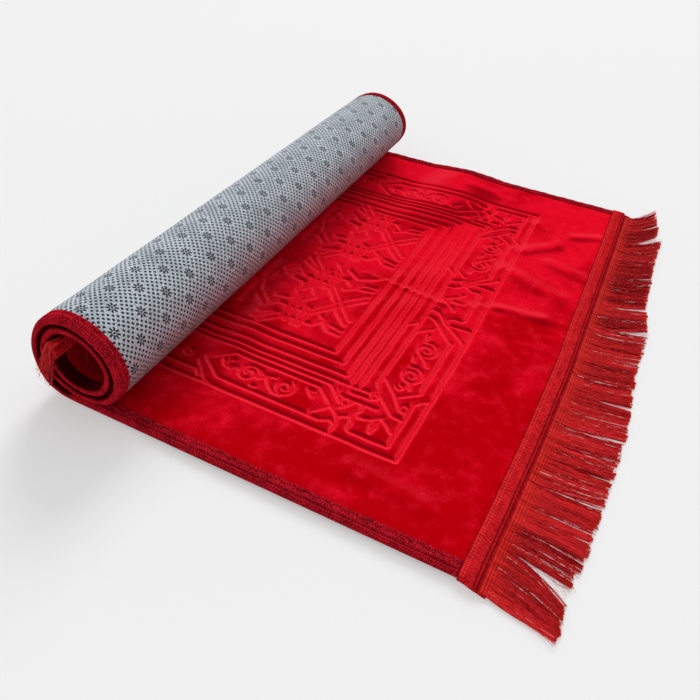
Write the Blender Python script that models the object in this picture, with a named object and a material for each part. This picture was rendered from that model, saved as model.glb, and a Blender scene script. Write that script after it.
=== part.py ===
"""Padded velvet prayer rug, unrolled for two fifths of its length and rolled up for the rest.

Every piece is first cut out flat, in three coordinates: s runs along the rug from its front end
towards the roll, y runs across it, and n is the height in the rug's own thickness, from the felt
underside to the pile. Then place() lays the flat piece along the rug's real path: over the floor,
and round the roll, which is wound with the pile inside and is flatter at its far end.

Metres, +Z up. The floor is z = 0, and the origin lies under the middle of the whole rug.
"""
import math

import bmesh
import bpy
import numpy as np

MM = 0.001

# ---------------------------------------------------------------- driving dimensions (metres)
NEAR_Y = -0.350                # near long edge of the rug
FAR_Y = 0.346                  # far long edge of the rug
FRONT_X = 0.0516               # front end of the velvet, under its heading tape
ROLL_X = -0.382                # axis of the roll, in the same drawing frame
ROLL_Z = 0.060                 # height of the roll's axis at the near end
SQUASH = 0.016                 # how much lower the roll is at its far end
ORIGIN_X = -0.15546            # middle of the finished rug's box in the drawing frame
ORIGIN_Y = 0.01442

THICKNESS = 0.0100             # over the side bindings
FELT_TOP = 0.0016              # felt underside, 1.6 mm thick
PILE_BOTTOM = 0.0019           # foam and velvet start 0.3 mm above the felt
PILE_TOP = 0.0094
TAPE = 0.0011                  # woven tape of the bindings and headings
FIT = 0.0003                   # gap between one piece and the next
FELT_TUCK = 0.0012             # how far the felt is lifted where tape passes under it
FELT_BOUND = 0.0013            # thickness of the felt where it is pinched by the tape
BOUND_TOP = 0.0085             # top of the velvet where it is pinched by the tape
BINDING_WIDTH = 0.0155         # side binding, on the pile side and on the felt side
PINCH = 0.0190                 # the padding is back at full height this far from an edge
HEADING_WIDTH = 0.0170         # heading tape at each end
HEADING_DROP = 0.0014          # the front heading slopes down by this much
SEAM_GAP = TAPE + FIT          # wall of the tape plus its gap, beyond the velvet's end

# Embossed border: nested rectangles pressed into the pile, by their distance inside the first.
FRAME_HALF_WIDTH = 0.266
FRAME_END = 0.1146             # first line across the rug, from the front end of the velvet
FRAME_INSETS = (0.0, 0.013, 0.058, 0.068, 0.088, 0.114)
GROOVE_WIDTH = 0.0050
GROOVE_DEPTH = 0.0014

# A low hump where the flat part has been pushed towards the roll, near the far edge.
HUMP_HEIGHT = 0.0045
HUMP_X, HUMP_HALF_LENGTH = -0.195, 0.085
HUMP_START_Y, HUMP_FULL_Y = 0.120, 0.260

# Fringe
FRONT_STRANDS = 160
INNER_STRANDS = 88
HEADER_WIDTH = 0.0100          # woven header that the strands hang from
STRAND_WIDTH = (0.0030, 0.0017)    # at the root and at the tip
STRAND_HEIGHT = (0.0024, 0.0011)   # just past the root and at the tip
STRAND_RINGS = (0.20, 0.58, 1.0)   # where along its length a strand has a section

# The roll: winding angle in degrees from the point under the axis, going left, up and over,
# and the distance of the middle of the cloth from the axis in millimetres, at the near end.
ROLL_TABLE = (
    # angle, radius
    (0, 55.0), (18, 57.7), (34, 63.0), (46, 65.0), (58, 61.8), (75, 56.5), (92, 52.5),
    (110, 49.7), (132, 49.7), (150, 51.6), (180, 55.1), (225, 57.0), (250, 55.6),
    (292, 49.2), (325, 46.4), (360, 44.4), (395, 46.0), (415, 46.0), (434, 43.6),
    (452, 40.8), (472, 38.4), (492, 38.5), (512, 40.8), (540, 44.1), (580, 46.2),
    (610, 44.4), (650, 37.9), (680, 35.5), (720, 33.5), (750, 33.6), (775, 33.2),
    (806, 29.4), (830, 27.0), (850, 27.0), (885, 28.8),
)
CLOTH_END_ANGLE = 846.0        # inner end of the velvet
PATH_END_ANGLE = 885.0         # the path runs on for the heading and the fringe's header
TURN_STEP = 18.0               # degrees from one section to the next, in line in all turns

# Seam between heading and fringe across the rug, in millimetres: the front end bows outwards.
FRONT_LINE = (
    # y, x of the seam
    (-350, 46.0), (-250, 49.5), (-150, 52.0), (-60, 53.0), (50, 51.0), (200, 48.5), (346, 45.5),
)
BOW_ENDS = 0.30                # the cross threads are straight again this far from the front
NEAR_CORNER_SPLAY = 0.005      # the near front corner is pushed outwards

# Locks of the front fringe, in millimetres: the strands whose roots lie from root_a to root_b
# along the header end from tip_a to tip_b, and reach reach_a to reach_b in front of it.
FRONT_LOCKS = (
    # root_a, root_b, tip_a, tip_b, reach_a, reach_b
    (-350, -300, -360, -327, 65, 61),
    (-300, -256, -309, -259, 61, 66),
    (-256, -218, -257, -218, 66, 66),
    (-218, -182, -212, -181, 66, 67),
    (-182, -130, -178, -123, 67, 68),
    (-130, -76, -120, -71, 68, 65),
    (-76, 0, -64, 8, 64, 61),
    (0, 53, 11, 66, 61, 64),
    (53, 104, 77, 118, 61, 57),
    (104, 165, 122, 181, 54, 51),
    (165, 224, 184, 249, 52, 49),
    (224, 268, 253, 300, 50, 51),
    (268, 310, 309, 344, 42, 42),
    (310, 346, 347, 390, 41, 31),
)

# Fringe at the inner end: sections of a strand from its root, in millimetres. It bends over and
# hangs down inside the roll, along the innermost layer.
INNER_FALL = (
    # to the right, upwards, slope of the section in degrees
    (3.2, -0.8, 48.0), (5.0, -22.0, 0.0), (3.5, -46.0, 0.0),
)
# The lock at its near end falls out of the roll: section by section, the places of its first
# and of its last strand, in millimetres in the drawing frame.
SPILL_STRANDS = 3
SPILL = (
    # x, y, z of the first strand; x, y, z of the last strand; slope of the section in degrees
    (-393.0, -353.0, 85.5, -386.0, -353.0, 79.5, 15.0),
    (-417.0, -354.0, 52.0, -407.0, -354.0, 46.0, -35.0),
    (-440.0, -354.0, 33.0, -427.0, -354.0, 10.0, -35.0),
)

# Colours of the pieces: red, green, blue, then roughness.
PILE_RED = (0.48, 0.004, 0.020, 0.75)
FELT_GREY = (0.30, 0.33, 0.37, 0.95)
TAPE_RED = (0.33, 0.010, 0.014, 0.85)
FRINGE_RED = (0.42, 0.012, 0.016, 0.70)


# ---------------------------------------------------------------- the rug's path
def smooth_rows(x, table):
    """Cubic curve through a table's rows, level at its first row."""
    rows = np.array(table, dtype=float)
    xs, ys = rows[:, 0], rows[:, 1]
    slope = np.gradient(ys, xs)
    slope[0] = 0.0
    i = np.clip(np.searchsorted(xs, x) - 1, 0, len(xs) - 2)
    span = xs[i + 1] - xs[i]
    t = np.clip((x - xs[i]) / span, 0.0, 1.0)
    start = (1 + 2 * t) * (1 - t) ** 2 * ys[i] + t * (1 - t) ** 2 * span * slope[i]
    end = t * t * (3 - 2 * t) * ys[i + 1] + t * t * (t - 1) * span * slope[i + 1]
    return start + end


def smooth_step(t):
    """0 below 0, 1 above 1, and a smooth rise in between."""
    t = np.clip(t, 0.0, 1.0)
    return t * t * (3 - 2 * t)


def roll_profile(angles, squash):
    """Middle of the cloth round the roll; squash lowers the tops of the turns."""
    turn = np.radians(angles)
    radius = smooth_rows(angles, ROLL_TABLE) * MM
    from_floor = abs((angles + 180.0) % 360.0 - 180.0)
    sink = squash * smooth_step((from_floor - 20.0) / 140.0)
    x = ROLL_X - radius * np.sin(turn)
    z = ROLL_Z - radius * np.cos(turn) - sink
    return x, z


ANGLES = np.linspace(0.0, PATH_END_ANGLE, 1771)
NEAR_PROFILE = roll_profile(ANGLES, 0.0)
FAR_PROFILE = roll_profile(ANGLES, SQUASH)
FLAT_LENGTH = FRONT_X - ROLL_X


def roll_lengths():
    """Distance s of each profile point from the rug's front end, half way across the rug."""
    x = (NEAR_PROFILE[0] + FAR_PROFILE[0]) / 2
    z = (NEAR_PROFILE[1] + FAR_PROFILE[1]) / 2
    steps = np.hypot(np.diff(x), np.diff(z))
    return FLAT_LENGTH + np.concatenate([[0.0], np.cumsum(steps)])


ROLL_S = roll_lengths()
CLOTH_LENGTH = float(np.interp(CLOTH_END_ANGLE, ANGLES, ROLL_S))


def profile_point(s, profile):
    """Point of one profile at distance s: level in front of the roll, then round it."""
    flat = s < FLAT_LENGTH
    x = np.where(flat, FRONT_X - s, np.interp(s, ROLL_S, profile[0]))
    z = np.where(flat, THICKNESS / 2, np.interp(s, ROLL_S, profile[1]))
    return x, z


def middle_point(s, y):
    """Middle of the cloth at s and y, between the near and the far profile."""
    across = (y - NEAR_Y) / (FAR_Y - NEAR_Y)
    near = profile_point(s, NEAR_PROFILE)
    far = profile_point(s, FAR_PROFILE)
    return (near[0] + (far[0] - near[0]) * across, near[1] + (far[1] - near[1]) * across)


def hump(x, y):
    """Height by which the rug is lifted off the floor."""
    along = np.clip((x - HUMP_X) / HUMP_HALF_LENGTH, -1.0, 1.0)
    ridge = np.cos(along * math.pi / 2) ** 2
    return HUMP_HEIGHT * ridge * smooth_step((y - HUMP_START_Y) / (HUMP_FULL_Y - HUMP_START_Y))


def place(s, y, n):
    """World position of the flat coordinates s, y and n."""
    step = 0.0005
    x, z = middle_point(s, y)
    x_before, z_before = middle_point(s - step, y)
    x_after, z_after = middle_point(s + step, y)
    along_x, along_z = x_after - x_before, z_after - z_before
    length = np.hypot(along_x, along_z)
    offset = n - THICKNESS / 2
    x = x + offset * along_z / length
    z = z - offset * along_x / length
    z = z + hump(x, y) * (s < FLAT_LENGTH)
    bow = smooth_rows(y / MM, FRONT_LINE) * MM - (FRONT_X + SEAM_GAP)
    x = x + bow * (1 - smooth_step(s / BOW_ENDS))
    near_side = np.clip((0.0 - y) / (0.0 - NEAR_Y), 0.0, 1.2) ** 4
    beyond = smooth_step((HEADING_WIDTH - s) / (HEADING_WIDTH + SEAM_GAP + HEADER_WIDTH))
    y = y - NEAR_CORNER_SPLAY * near_side * beyond
    return x - ORIGIN_X, y - ORIGIN_Y, z


# ---------------------------------------------------------------- heights in the thickness
def end_distance(s):
    """Distance from the nearer end of the velvet."""
    return np.minimum(s, CLOTH_LENGTH - s)


def pinch(s, y):
    """1 where tape holds the cloth's edge, 0 in the open field."""
    side = np.minimum(y - NEAR_Y, FAR_Y - y)
    by_side = (PINCH - side) / (PINCH - BINDING_WIDTH)
    by_end = (PINCH - end_distance(s)) / (PINCH - HEADING_WIDTH)
    return np.clip(np.maximum(by_side, by_end), 0.0, 1.0)


def front_drop(s):
    """Slope of the front heading, from nothing at its inner edge to its full drop."""
    return HEADING_DROP * np.clip(1 - s / HEADING_WIDTH, 0.0, 1.0)


def groove_depth(s, y):
    """Depth of the pressed border lines, a V that is deepest on the line itself."""
    depth = 0.0
    for inset in FRAME_INSETS:
        to_side = abs(abs(y) - (FRAME_HALF_WIDTH - inset))
        to_end = abs(s - (FRAME_END + inset))
        past_side = abs(y) - (FRAME_HALF_WIDTH - inset)
        past_end = (FRAME_END + inset) - s
        outside = max(past_side, past_end)
        on_line = min(to_side, to_end) if outside <= 0 else outside
        depth = max(depth, 1 - on_line / (GROOVE_WIDTH / 2))
    fade = smooth_step((FLAT_LENGTH - s) / 0.02)
    return GROOVE_DEPTH * depth * float(fade)


def pile_top(s, y):
    held = pinch(s, y)
    open_top = PILE_TOP - groove_depth(s, y)
    return open_top * (1 - held) + (BOUND_TOP - front_drop(s)) * held


def pile_bottom(s, y):
    return PILE_BOTTOM + (FELT_TUCK + FELT_BOUND + FIT - PILE_BOTTOM) * pinch(s, y)


def felt_top(s, y):
    return FELT_TOP + (FELT_TUCK + FELT_BOUND - FELT_TOP) * pinch(s, y)


def felt_bottom(s, y):
    return FELT_TUCK * pinch(s, y)


# ---------------------------------------------------------------- rows and columns of the cuts
def roll_stations():
    """Distances s of the sections round the roll."""
    angles = np.arange(0.0, CLOTH_END_ANGLE, TURN_STEP)
    return [float(np.interp(angle, ANGLES, ROLL_S)) for angle in angles]


def hump_stations():
    """Sections over the low hump."""
    middle = FRONT_X - HUMP_X
    return [middle + HUMP_HALF_LENGTH * k / 3 for k in range(-3, 4)]


def shared_stations():
    """Sections that velvet, felt and bindings have in common, so that their faces stay parallel."""
    ends = [0.0, HEADING_WIDTH, PINCH]
    ends += [CLOTH_LENGTH - s for s in ends]
    between = [s for s in hump_stations() + roll_stations() if min(abs(s - e) for e in ends) > 0.002]
    return tidy(ends + between)


def groove_lines(places):
    """Both rims and the bottom of each groove."""
    half = GROOVE_WIDTH / 2
    return [place_ + side for place_ in places for side in (-half, 0.0, half)]


def tidy(values, gap=0.0008):
    """Sorted values without near doubles."""
    kept = []
    for value in sorted(values):
        if not kept or value - kept[-1] > gap:
            kept.append(value)
    return kept


ROLL_COLUMNS = [-0.235, -0.120, 0.0, 0.120, 0.250]
HUMP_COLUMNS = [0.165, 0.205, 0.300]


def edge_columns():
    inset = SEAM_GAP
    return [NEAR_Y + inset, NEAR_Y + BINDING_WIDTH, NEAR_Y + PINCH,
            FAR_Y - PINCH, FAR_Y - BINDING_WIDTH, FAR_Y - inset]


def plain_columns(s):
    """Columns without the pressed border: those of the roll, and in front of it the hump's."""
    hump_columns = HUMP_COLUMNS if s < FLAT_LENGTH + 1e-6 else []
    return tidy(edge_columns() + ROLL_COLUMNS + hump_columns)


def strand_roots(count):
    """Middles of the strands' roots along the header."""
    pitch = (FAR_Y - NEAR_Y) / count
    return [NEAR_Y + pitch * (k + 0.5) for k in range(count)]


def end_columns(count):
    """Columns of a heading and its header between the corners: every eighth strand's edge."""
    return [root - STRAND_WIDTH[0] / 2 for root in strand_roots(count)[4::8]]


def border_columns():
    """Columns over the pressed border, with those of its side lines."""
    sides = [sign * (FRAME_HALF_WIDTH - inset) for inset in FRAME_INSETS for sign in (-1, 1)]
    spare = [y for y in ROLL_COLUMNS + HUMP_COLUMNS
             if min(abs(y - side) for side in sides) > GROOVE_WIDTH]
    return tidy(edge_columns() + spare + groove_lines(sides))


# ---------------------------------------------------------------- mesh tools
def fill_between(mesh, low, high):
    """Strip between two rows: a quad where their next columns agree, otherwise a triangle."""
    i, j = 0, 0
    while i + 1 < len(low) or j + 1 < len(high):
        low_y = low[i + 1].co.y if i + 1 < len(low) else math.inf
        high_y = high[j + 1].co.y if j + 1 < len(high) else math.inf
        if abs(low_y - high_y) < 2e-6 or len(low) - i == len(high) - j == 2:
            mesh.faces.new((low[i], low[i + 1], high[j + 1], high[j]))
            i, j = i + 1, j + 1
        elif low_y < high_y and i + 2 < len(low) or j + 1 == len(high):
            mesh.faces.new((low[i], low[i + 1], high[j]))
            i += 1
        else:
            mesh.faces.new((low[i], high[j + 1], high[j]))
            j += 1


def add_rows(mesh, stations, columns_at, height):
    """Sheet of points at height(s, y), with its faces; returns its rows."""
    rows = []
    for s in stations:
        rows.append([mesh.verts.new((s, y, float(height(s, y)))) for y in columns_at(s)])
    for low, high in zip(rows, rows[1:]):
        fill_between(mesh, low, high)
    return rows


def add_sides(mesh, top, bottom):
    """Long sides between the top and the bottom rows, which share their stations."""
    for k in range(len(top) - 1):
        for edge in (0, -1):
            mesh.faces.new((top[k][edge], top[k + 1][edge], bottom[k + 1][edge], bottom[k][edge]))


def add_slab(mesh, stations, columns_at, top, bottom, bottom_columns_at=None, open_end=False):
    """Closed slab, or one without its last end; returns its top and bottom rows."""
    top_rows = add_rows(mesh, stations, columns_at, top)
    bottom_rows = add_rows(mesh, stations, bottom_columns_at or columns_at, bottom)
    add_sides(mesh, top_rows, bottom_rows)
    fill_between(mesh, bottom_rows[0], top_rows[0])
    if not open_end:
        fill_between(mesh, bottom_rows[-1], top_rows[-1])
    return top_rows, bottom_rows


def lay_out(mesh):
    """Move every point from its flat coordinates to its place in the rug."""
    flat = np.array([vert.co for vert in mesh.verts])
    laid = np.stack(place(flat[:, 0], flat[:, 1], flat[:, 2]), axis=1)
    for vert, co in zip(mesh.verts, laid):
        vert.co = co


def principled(name, colour):
    """Plain cloth material: three colour values and a roughness."""
    material = bpy.data.materials.new(name)
    material.use_nodes = True
    shader = material.node_tree.nodes["Principled BSDF"]
    shader.inputs["Base Color"].default_value = (*colour[:3], 1.0)
    shader.inputs["Roughness"].default_value = colour[3]
    shader.inputs["Metallic"].default_value = 0.0
    return material


def finish(mesh, name, colour, collection):
    """Turn the faces outwards, store the mesh as an object and give it its material."""
    bmesh.ops.recalc_face_normals(mesh, faces=mesh.faces)
    if mesh.calc_volume(signed=True) < 0:
        bmesh.ops.reverse_faces(mesh, faces=mesh.faces)
    data = bpy.data.meshes.new(name)
    mesh.to_mesh(data)
    mesh.free()
    data.materials.append(principled(name, colour))
    thing = bpy.data.objects.new(name, data)
    collection.objects.link(thing)
    return thing


# ---------------------------------------------------------------- the pieces
def make_pile_cloth(collection):
    """Velvet on its foam pad: one sheet with the border pressed into the part that lies open."""
    mesh = bmesh.new()
    border_ends = [FRAME_END + inset for inset in FRAME_INSETS]
    stations = tidy(shared_stations() + groove_lines(border_ends))
    border, last_open = border_columns(), FLAT_LENGTH - 1e-6
    add_slab(mesh, stations,
             lambda s: border if HEADING_WIDTH < s < last_open else plain_columns(s),
             pile_top, pile_bottom, plain_columns)
    lay_out(mesh)
    return finish(mesh, "pile_cloth", PILE_RED, collection)


def make_grip_backing(collection):
    """Felt underside, which is the outside of the roll."""
    mesh = bmesh.new()
    add_slab(mesh, shared_stations(), plain_columns, felt_top, felt_bottom)
    lay_out(mesh)
    return finish(mesh, "grip_backing", FELT_GREY, collection)


def make_binding(name, edge_y, inward, collection):
    """Woven tape folded round a long edge: a channel whose open side faces the rug."""
    mesh = bmesh.new()
    start = HEADING_WIDTH + FIT
    end = CLOTH_LENGTH - HEADING_WIDTH - FIT
    between = [s for s in shared_stations() if start < s < end]
    mouth = edge_y + inward * (BINDING_WIDTH - 0.0005)
    wall = edge_y + inward * TAPE
    top = THICKNESS - 0.0001
    outline = ((mouth, top), (edge_y, top), (edge_y, 0.0), (mouth, 0.0),
               (mouth, TAPE - 0.0002), (wall, TAPE - 0.0002), (wall, top - TAPE), (mouth, top - TAPE))
    rings = [[mesh.verts.new((s, y, n)) for y, n in outline]
             for s in tidy([start] + between + [end])]
    count = len(outline)
    for low, high in zip(rings, rings[1:]):
        for k in range(count):
            mesh.faces.new((low[k], low[(k + 1) % count], high[(k + 1) % count], high[k]))
    mesh.faces.new(rings[0])
    mesh.faces.new(rings[-1][::-1])
    lay_out(mesh)
    return finish(mesh, name, TAPE_RED, collection)


def make_heading(name, end_s, inward, strands, collection):
    """Ribbed tape over one end of the rug: a flat pocket that takes the end of the cloth."""
    mesh = bmesh.new()
    drop = front_drop if inward > 0 else (lambda s: 0.0)
    outer_end = end_s - inward * SEAM_GAP
    mouth = end_s + inward * (HEADING_WIDTH - FIT)
    inner_end = end_s - inward * FIT
    outer_columns = [NEAR_Y] + end_columns(strands) + [FAR_Y]
    inner_columns = [NEAR_Y + TAPE] + end_columns(strands) + [FAR_Y - TAPE]
    top = THICKNESS - 0.0001
    bends = [s for s in roll_stations() if min(end_s, mouth) < s < max(end_s, mouth)]
    outer_rows = sorted([outer_end, mouth] + bends, reverse=inward < 0)
    inner_rows = sorted([inner_end, mouth] + bends, reverse=inward < 0)
    outer = add_slab(mesh, outer_rows, lambda s: outer_columns,
                     lambda s, y: top - drop(s), lambda s, y: 0.0, open_end=True)
    inner = add_slab(mesh, inner_rows, lambda s: inner_columns,
                     lambda s, y: top - TAPE - drop(s), lambda s, y: TAPE - 0.0002, open_end=True)
    outer_mouth = outer[0][-1] + outer[1][-1][::-1]
    inner_mouth = inner[0][-1] + inner[1][-1][::-1]
    count = len(outer_mouth)
    for k in range(count):
        after = (k + 1) % count
        mesh.faces.new((outer_mouth[k], outer_mouth[after], inner_mouth[after], inner_mouth[k]))
    lay_out(mesh)
    return finish(mesh, name, TAPE_RED, collection)


def add_header(mesh, back_s, front_s, roots, back_heights, front_heights):
    """Woven header strip, laid in place; returns the front faces that the strands grow from."""
    half = STRAND_WIDTH[0] / 2
    edges = [root + side for root in roots for side in (-half, half)]
    back_columns = [NEAR_Y + FIT] + end_columns(len(roots)) + [FAR_Y - FIT]
    front_columns = tidy(back_columns + edges, gap=1e-5)
    columns_at = lambda s: back_columns if s == back_s else front_columns
    heights = lambda s: back_heights if s == back_s else front_heights
    top, bottom = add_slab(mesh, [back_s, front_s], columns_at,
                           lambda s, y: heights(s)[1], lambda s, y: heights(s)[0])
    front = set(top[-1]) | set(bottom[-1])
    faces = [face for face in mesh.faces if all(vert in front for vert in face.verts)]
    middles = np.array([face.calc_center_median().y for face in faces])
    cells = [faces[int(np.argmin(abs(middles - root)))] for root in roots]
    lay_out(mesh)
    return cells


CORNERS = ((-1, -1), (-1, 1), (1, 1), (1, -1))      # side along y, level in the x-z plane


def corner_ring(cell):
    """Corners of a header's front face in the order of CORNERS."""
    by_y = sorted(cell.verts, key=lambda vert: vert.co.y)
    left = sorted(by_y[:2], key=lambda vert: vert.co.z)
    right = sorted(by_y[2:], key=lambda vert: -vert.co.z)
    return left + right


def grow_strands(mesh, cells, section):
    """Grow a strand out of each cell; section(k, t) gives centre, half width and half height.

    The half width is a step along y, and the half height is a step in the x-z plane.
    """
    for k, cell in enumerate(cells):
        ring = corner_ring(cell)
        mesh.faces.remove(cell)
        for t in STRAND_RINGS:
            centre, half_width, half_height = section(k, t)
            after = [mesh.verts.new((centre[0] + level * half_height[0],
                                     centre[1] + side * half_width,
                                     centre[2] + level * half_height[1]))
                     for side, level in CORNERS]
            for i in range(4):
                j = (i + 1) % 4
                mesh.faces.new((ring[i], ring[j], after[j], after[i]))
            ring = after
        mesh.faces.new(ring)


def taper(pair, t):
    return pair[0] + (pair[1] - pair[0]) * t


def front_tips(roots):
    """Tip position y and reach of each strand, from the table of locks."""
    tips = []
    for root in roots:
        for root_a, root_b, tip_a, tip_b, reach_a, reach_b in FRONT_LOCKS:
            if root_a * MM <= root <= root_b * MM:
                share = (root / MM - root_a) / (root_b - root_a)
                tips.append((taper((tip_a, tip_b), share) * MM,
                             taper((reach_a, reach_b), share) * MM))
                break
    return tips


def make_fringe_front(collection):
    """Header and strands at the front end, the strands lying level on the floor in locks."""
    mesh = bmesh.new()
    roots = strand_roots(FRONT_STRANDS)
    back = -(SEAM_GAP + FIT)
    front = back - HEADER_WIDTH
    cells = add_header(mesh, back, front, roots, (0.0008, 0.0062), (0.0, STRAND_HEIGHT[0]))
    starts = [sum(v.co.x for v in cell.verts) / len(cell.verts) for cell in cells]
    tips = front_tips(roots)

    def section(k, t):
        tip_y, reach = tips[k]
        height = taper(STRAND_HEIGHT, t)
        x = starts[k] + reach * t
        y = roots[k] + (tip_y - roots[k]) * t ** 1.3 - ORIGIN_Y
        return (x, y, height / 2), taper(STRAND_WIDTH, t) / 2, (0.0, height / 2)

    grow_strands(mesh, cells, section)
    return finish(mesh, "fringe_front", FRINGE_RED, collection)


def make_fringe_inner(collection):
    """Header and strands at the inner end, hanging inside the roll and spilling out near by."""
    mesh = bmesh.new()
    roots = strand_roots(INNER_STRANDS)
    back = CLOTH_LENGTH + SEAM_GAP + FIT
    front = back + HEADER_WIDTH
    cells = add_header(mesh, back, front, roots, (0.0030, 0.0070), (0.0038, 0.0062))
    starts = [(sum(v.co.x for v in cell.verts) / len(cell.verts),
               sum(v.co.z for v in cell.verts) / len(cell.verts)) for cell in cells]

    def section(k, t):
        ring = STRAND_RINGS.index(t)
        half_width = taper(STRAND_WIDTH, t) / 2
        half_height = taper(STRAND_HEIGHT, t) / 2
        if k < SPILL_STRANDS:
            first, last, tilt = SPILL[ring][:3], SPILL[ring][3:6], math.radians(SPILL[ring][6])
            x, y, z = (taper((a, b), k / (SPILL_STRANDS - 1)) * MM for a, b in zip(first, last))
            slope = (half_width * math.cos(tilt), half_width * math.sin(tilt))
            return (x - ORIGIN_X, y - ORIGIN_Y, z), half_height, slope
        right, up, tilt = INNER_FALL[ring]
        room = 1 - 0.25 * (roots[k] - NEAR_Y) / (FAR_Y - NEAR_Y)
        centre = (starts[k][0] + right * MM, roots[k] - ORIGIN_Y, starts[k][1] + up * MM * room)
        tilt = math.radians(tilt)
        return centre, half_width, (half_height * math.cos(tilt), half_height * math.sin(tilt))

    grow_strands(mesh, cells, section)
    return finish(mesh, "fringe_inner", FRINGE_RED, collection)


def main():
    for thing in list(bpy.data.objects):
        bpy.data.objects.remove(thing, do_unlink=True)
    collection = bpy.data.collections.new("prayer_rug")
    bpy.context.scene.collection.children.link(collection)
    make_pile_cloth(collection)
    make_grip_backing(collection)
    make_binding("binding_near", NEAR_Y, 1, collection)
    make_binding("binding_far", FAR_Y, -1, collection)
    make_heading("heading_front", 0.0, 1, FRONT_STRANDS, collection)
    make_heading("heading_inner", CLOTH_LENGTH, -1, INNER_STRANDS, collection)
    make_fringe_front(collection)
    make_fringe_inner(collection)


main()
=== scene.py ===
# %% [markdown]
# # A padded velvet prayer rug, half unrolled
# The rug is a flat thing that has been bent: it lies open on the floor and winds up into a roll.
# So every piece is first described flat, by how far it is along the rug, how far across it, and
# how high in its thickness, and one function then carries it along the rug's real path. The packed
# solids are loaded first, because they fix where everything is.

# %% The frame
import math

import bpy
import numpy as np
from mathutils import Euler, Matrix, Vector


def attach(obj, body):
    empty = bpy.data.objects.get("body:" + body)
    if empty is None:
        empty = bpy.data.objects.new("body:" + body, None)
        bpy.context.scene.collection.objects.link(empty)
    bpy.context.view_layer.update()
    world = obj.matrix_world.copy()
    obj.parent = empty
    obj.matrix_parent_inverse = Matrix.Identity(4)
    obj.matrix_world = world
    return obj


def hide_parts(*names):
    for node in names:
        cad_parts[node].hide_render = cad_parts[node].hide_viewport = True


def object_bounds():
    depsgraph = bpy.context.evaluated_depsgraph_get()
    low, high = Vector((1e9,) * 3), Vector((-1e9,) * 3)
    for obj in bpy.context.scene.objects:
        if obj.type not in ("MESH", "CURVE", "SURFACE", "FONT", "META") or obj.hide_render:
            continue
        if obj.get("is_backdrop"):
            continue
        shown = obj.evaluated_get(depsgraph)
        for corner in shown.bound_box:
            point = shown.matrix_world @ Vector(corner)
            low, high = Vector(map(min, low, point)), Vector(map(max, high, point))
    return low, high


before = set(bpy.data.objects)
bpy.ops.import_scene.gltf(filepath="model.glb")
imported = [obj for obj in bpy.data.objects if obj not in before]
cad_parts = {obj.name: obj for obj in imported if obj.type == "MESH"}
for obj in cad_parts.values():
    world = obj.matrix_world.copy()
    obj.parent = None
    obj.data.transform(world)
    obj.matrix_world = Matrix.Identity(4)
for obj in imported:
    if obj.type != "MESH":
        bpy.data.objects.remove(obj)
cad_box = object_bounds()
MM = 0.001
print("solids:", sorted(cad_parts))

# %% [markdown]
# ## The camera
# The rug's long straight edges run to two vanishing points, and they fix the lens and the turn of
# the camera. Its place follows from the rug's width. Positions here are in the drawing frame, in
# which the rug was measured, and DRAWING is the way from there to the packed part's own origin.

# %% Camera
DRAWING = np.array([0.15546, -0.01442, 0.0])
LENS_MM = 34.92
CAMERA_TURN = (47.999, -2.387, 26.894)
CAMERA_PLACE = np.array([0.0628, -0.6678, 0.5301])

camera_data = bpy.data.cameras.new("camera")
camera_data.lens = LENS_MM
camera_data.sensor_width = 36.0
camera_data.clip_start = 0.02
camera = bpy.data.objects.new("camera", camera_data)
camera.rotation_euler = Euler([math.radians(angle) for angle in CAMERA_TURN])
camera.location = CAMERA_PLACE + DRAWING
bpy.context.collection.objects.link(camera)
bpy.context.scene.camera = camera
bpy.context.scene.view_settings.view_transform = "Standard"
print("camera at", [round(value, 3) for value in camera.location])

# %% [markdown]
# ## The path of the cloth
# A spiral of constant pitch would look like a machined spring. A hand-rolled rug is rounder on
# one side and sags on the other, so the radius of the roll comes from a short table, and a smooth
# curve through its rows gives every place in between. The front end bows outwards, so it has a
# table too. The open part isn't quite flat: it has a hump near the far edge and a low swell in
# front of the roll.

# %% Measured sizes
NEAR_Y, FAR_Y = -0.350, 0.346
FRONT_X = 0.0516
ROLL_X, ROLL_Z = -0.382, 0.060
SQUASH = 0.016
SQUASH_START, SQUASH_SPAN = 20.0, 140.0
THICKNESS = 0.0100
ROLL_TABLE = (
    # winding angle in degrees, distance from the axis in millimetres
    (0, 55.0), (18, 57.7), (34, 63.0), (46, 65.0), (58, 61.8), (75, 56.5), (92, 52.5),
    (110, 49.7), (132, 49.7), (150, 51.6), (180, 55.1), (225, 57.0), (250, 55.6),
    (292, 49.2), (325, 46.4), (360, 44.4), (395, 46.0), (415, 46.0), (434, 43.6),
    (452, 40.8), (472, 38.4), (492, 38.5), (512, 40.8), (540, 44.1), (580, 46.2),
    (610, 44.4), (650, 37.9), (680, 35.5), (720, 33.5), (750, 33.6), (775, 33.2),
    (806, 29.4), (830, 27.0), (850, 27.0), (885, 28.8),
)
CLOTH_END_ANGLE, PATH_END_ANGLE = 846.0, 885.0
FRONT_LINE = (
    # y, x of the seam between heading and fringe, in millimetres
    (-350, 46.0), (-250, 49.5), (-150, 52.0), (-60, 53.0), (50, 51.0), (200, 48.5), (346, 45.5),
)
SEAM_X = 0.0530
BOW_ENDS = 0.30
HEADING_WIDTH = 0.0170
CORNER_SPLAY, SPLAY_REACH = 0.005, 0.0114
HUMP_HEIGHT, HUMP_X, HUMP_HALF_LENGTH = 0.0048, -0.203, 0.078
HUMP_START_Y, HUMP_RISE_WIDTH = 0.115, 0.13
SWELL_HEIGHT, SWELL_X, SWELL_HALF_LENGTH = 0.0016, -0.300, 0.034
SWELL_Y, SWELL_HALF_WIDTH = -0.15, 0.16
print("the rug is", round((FAR_Y - NEAR_Y) / MM), "mm wide and", THICKNESS / MM, "mm thick")

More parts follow.
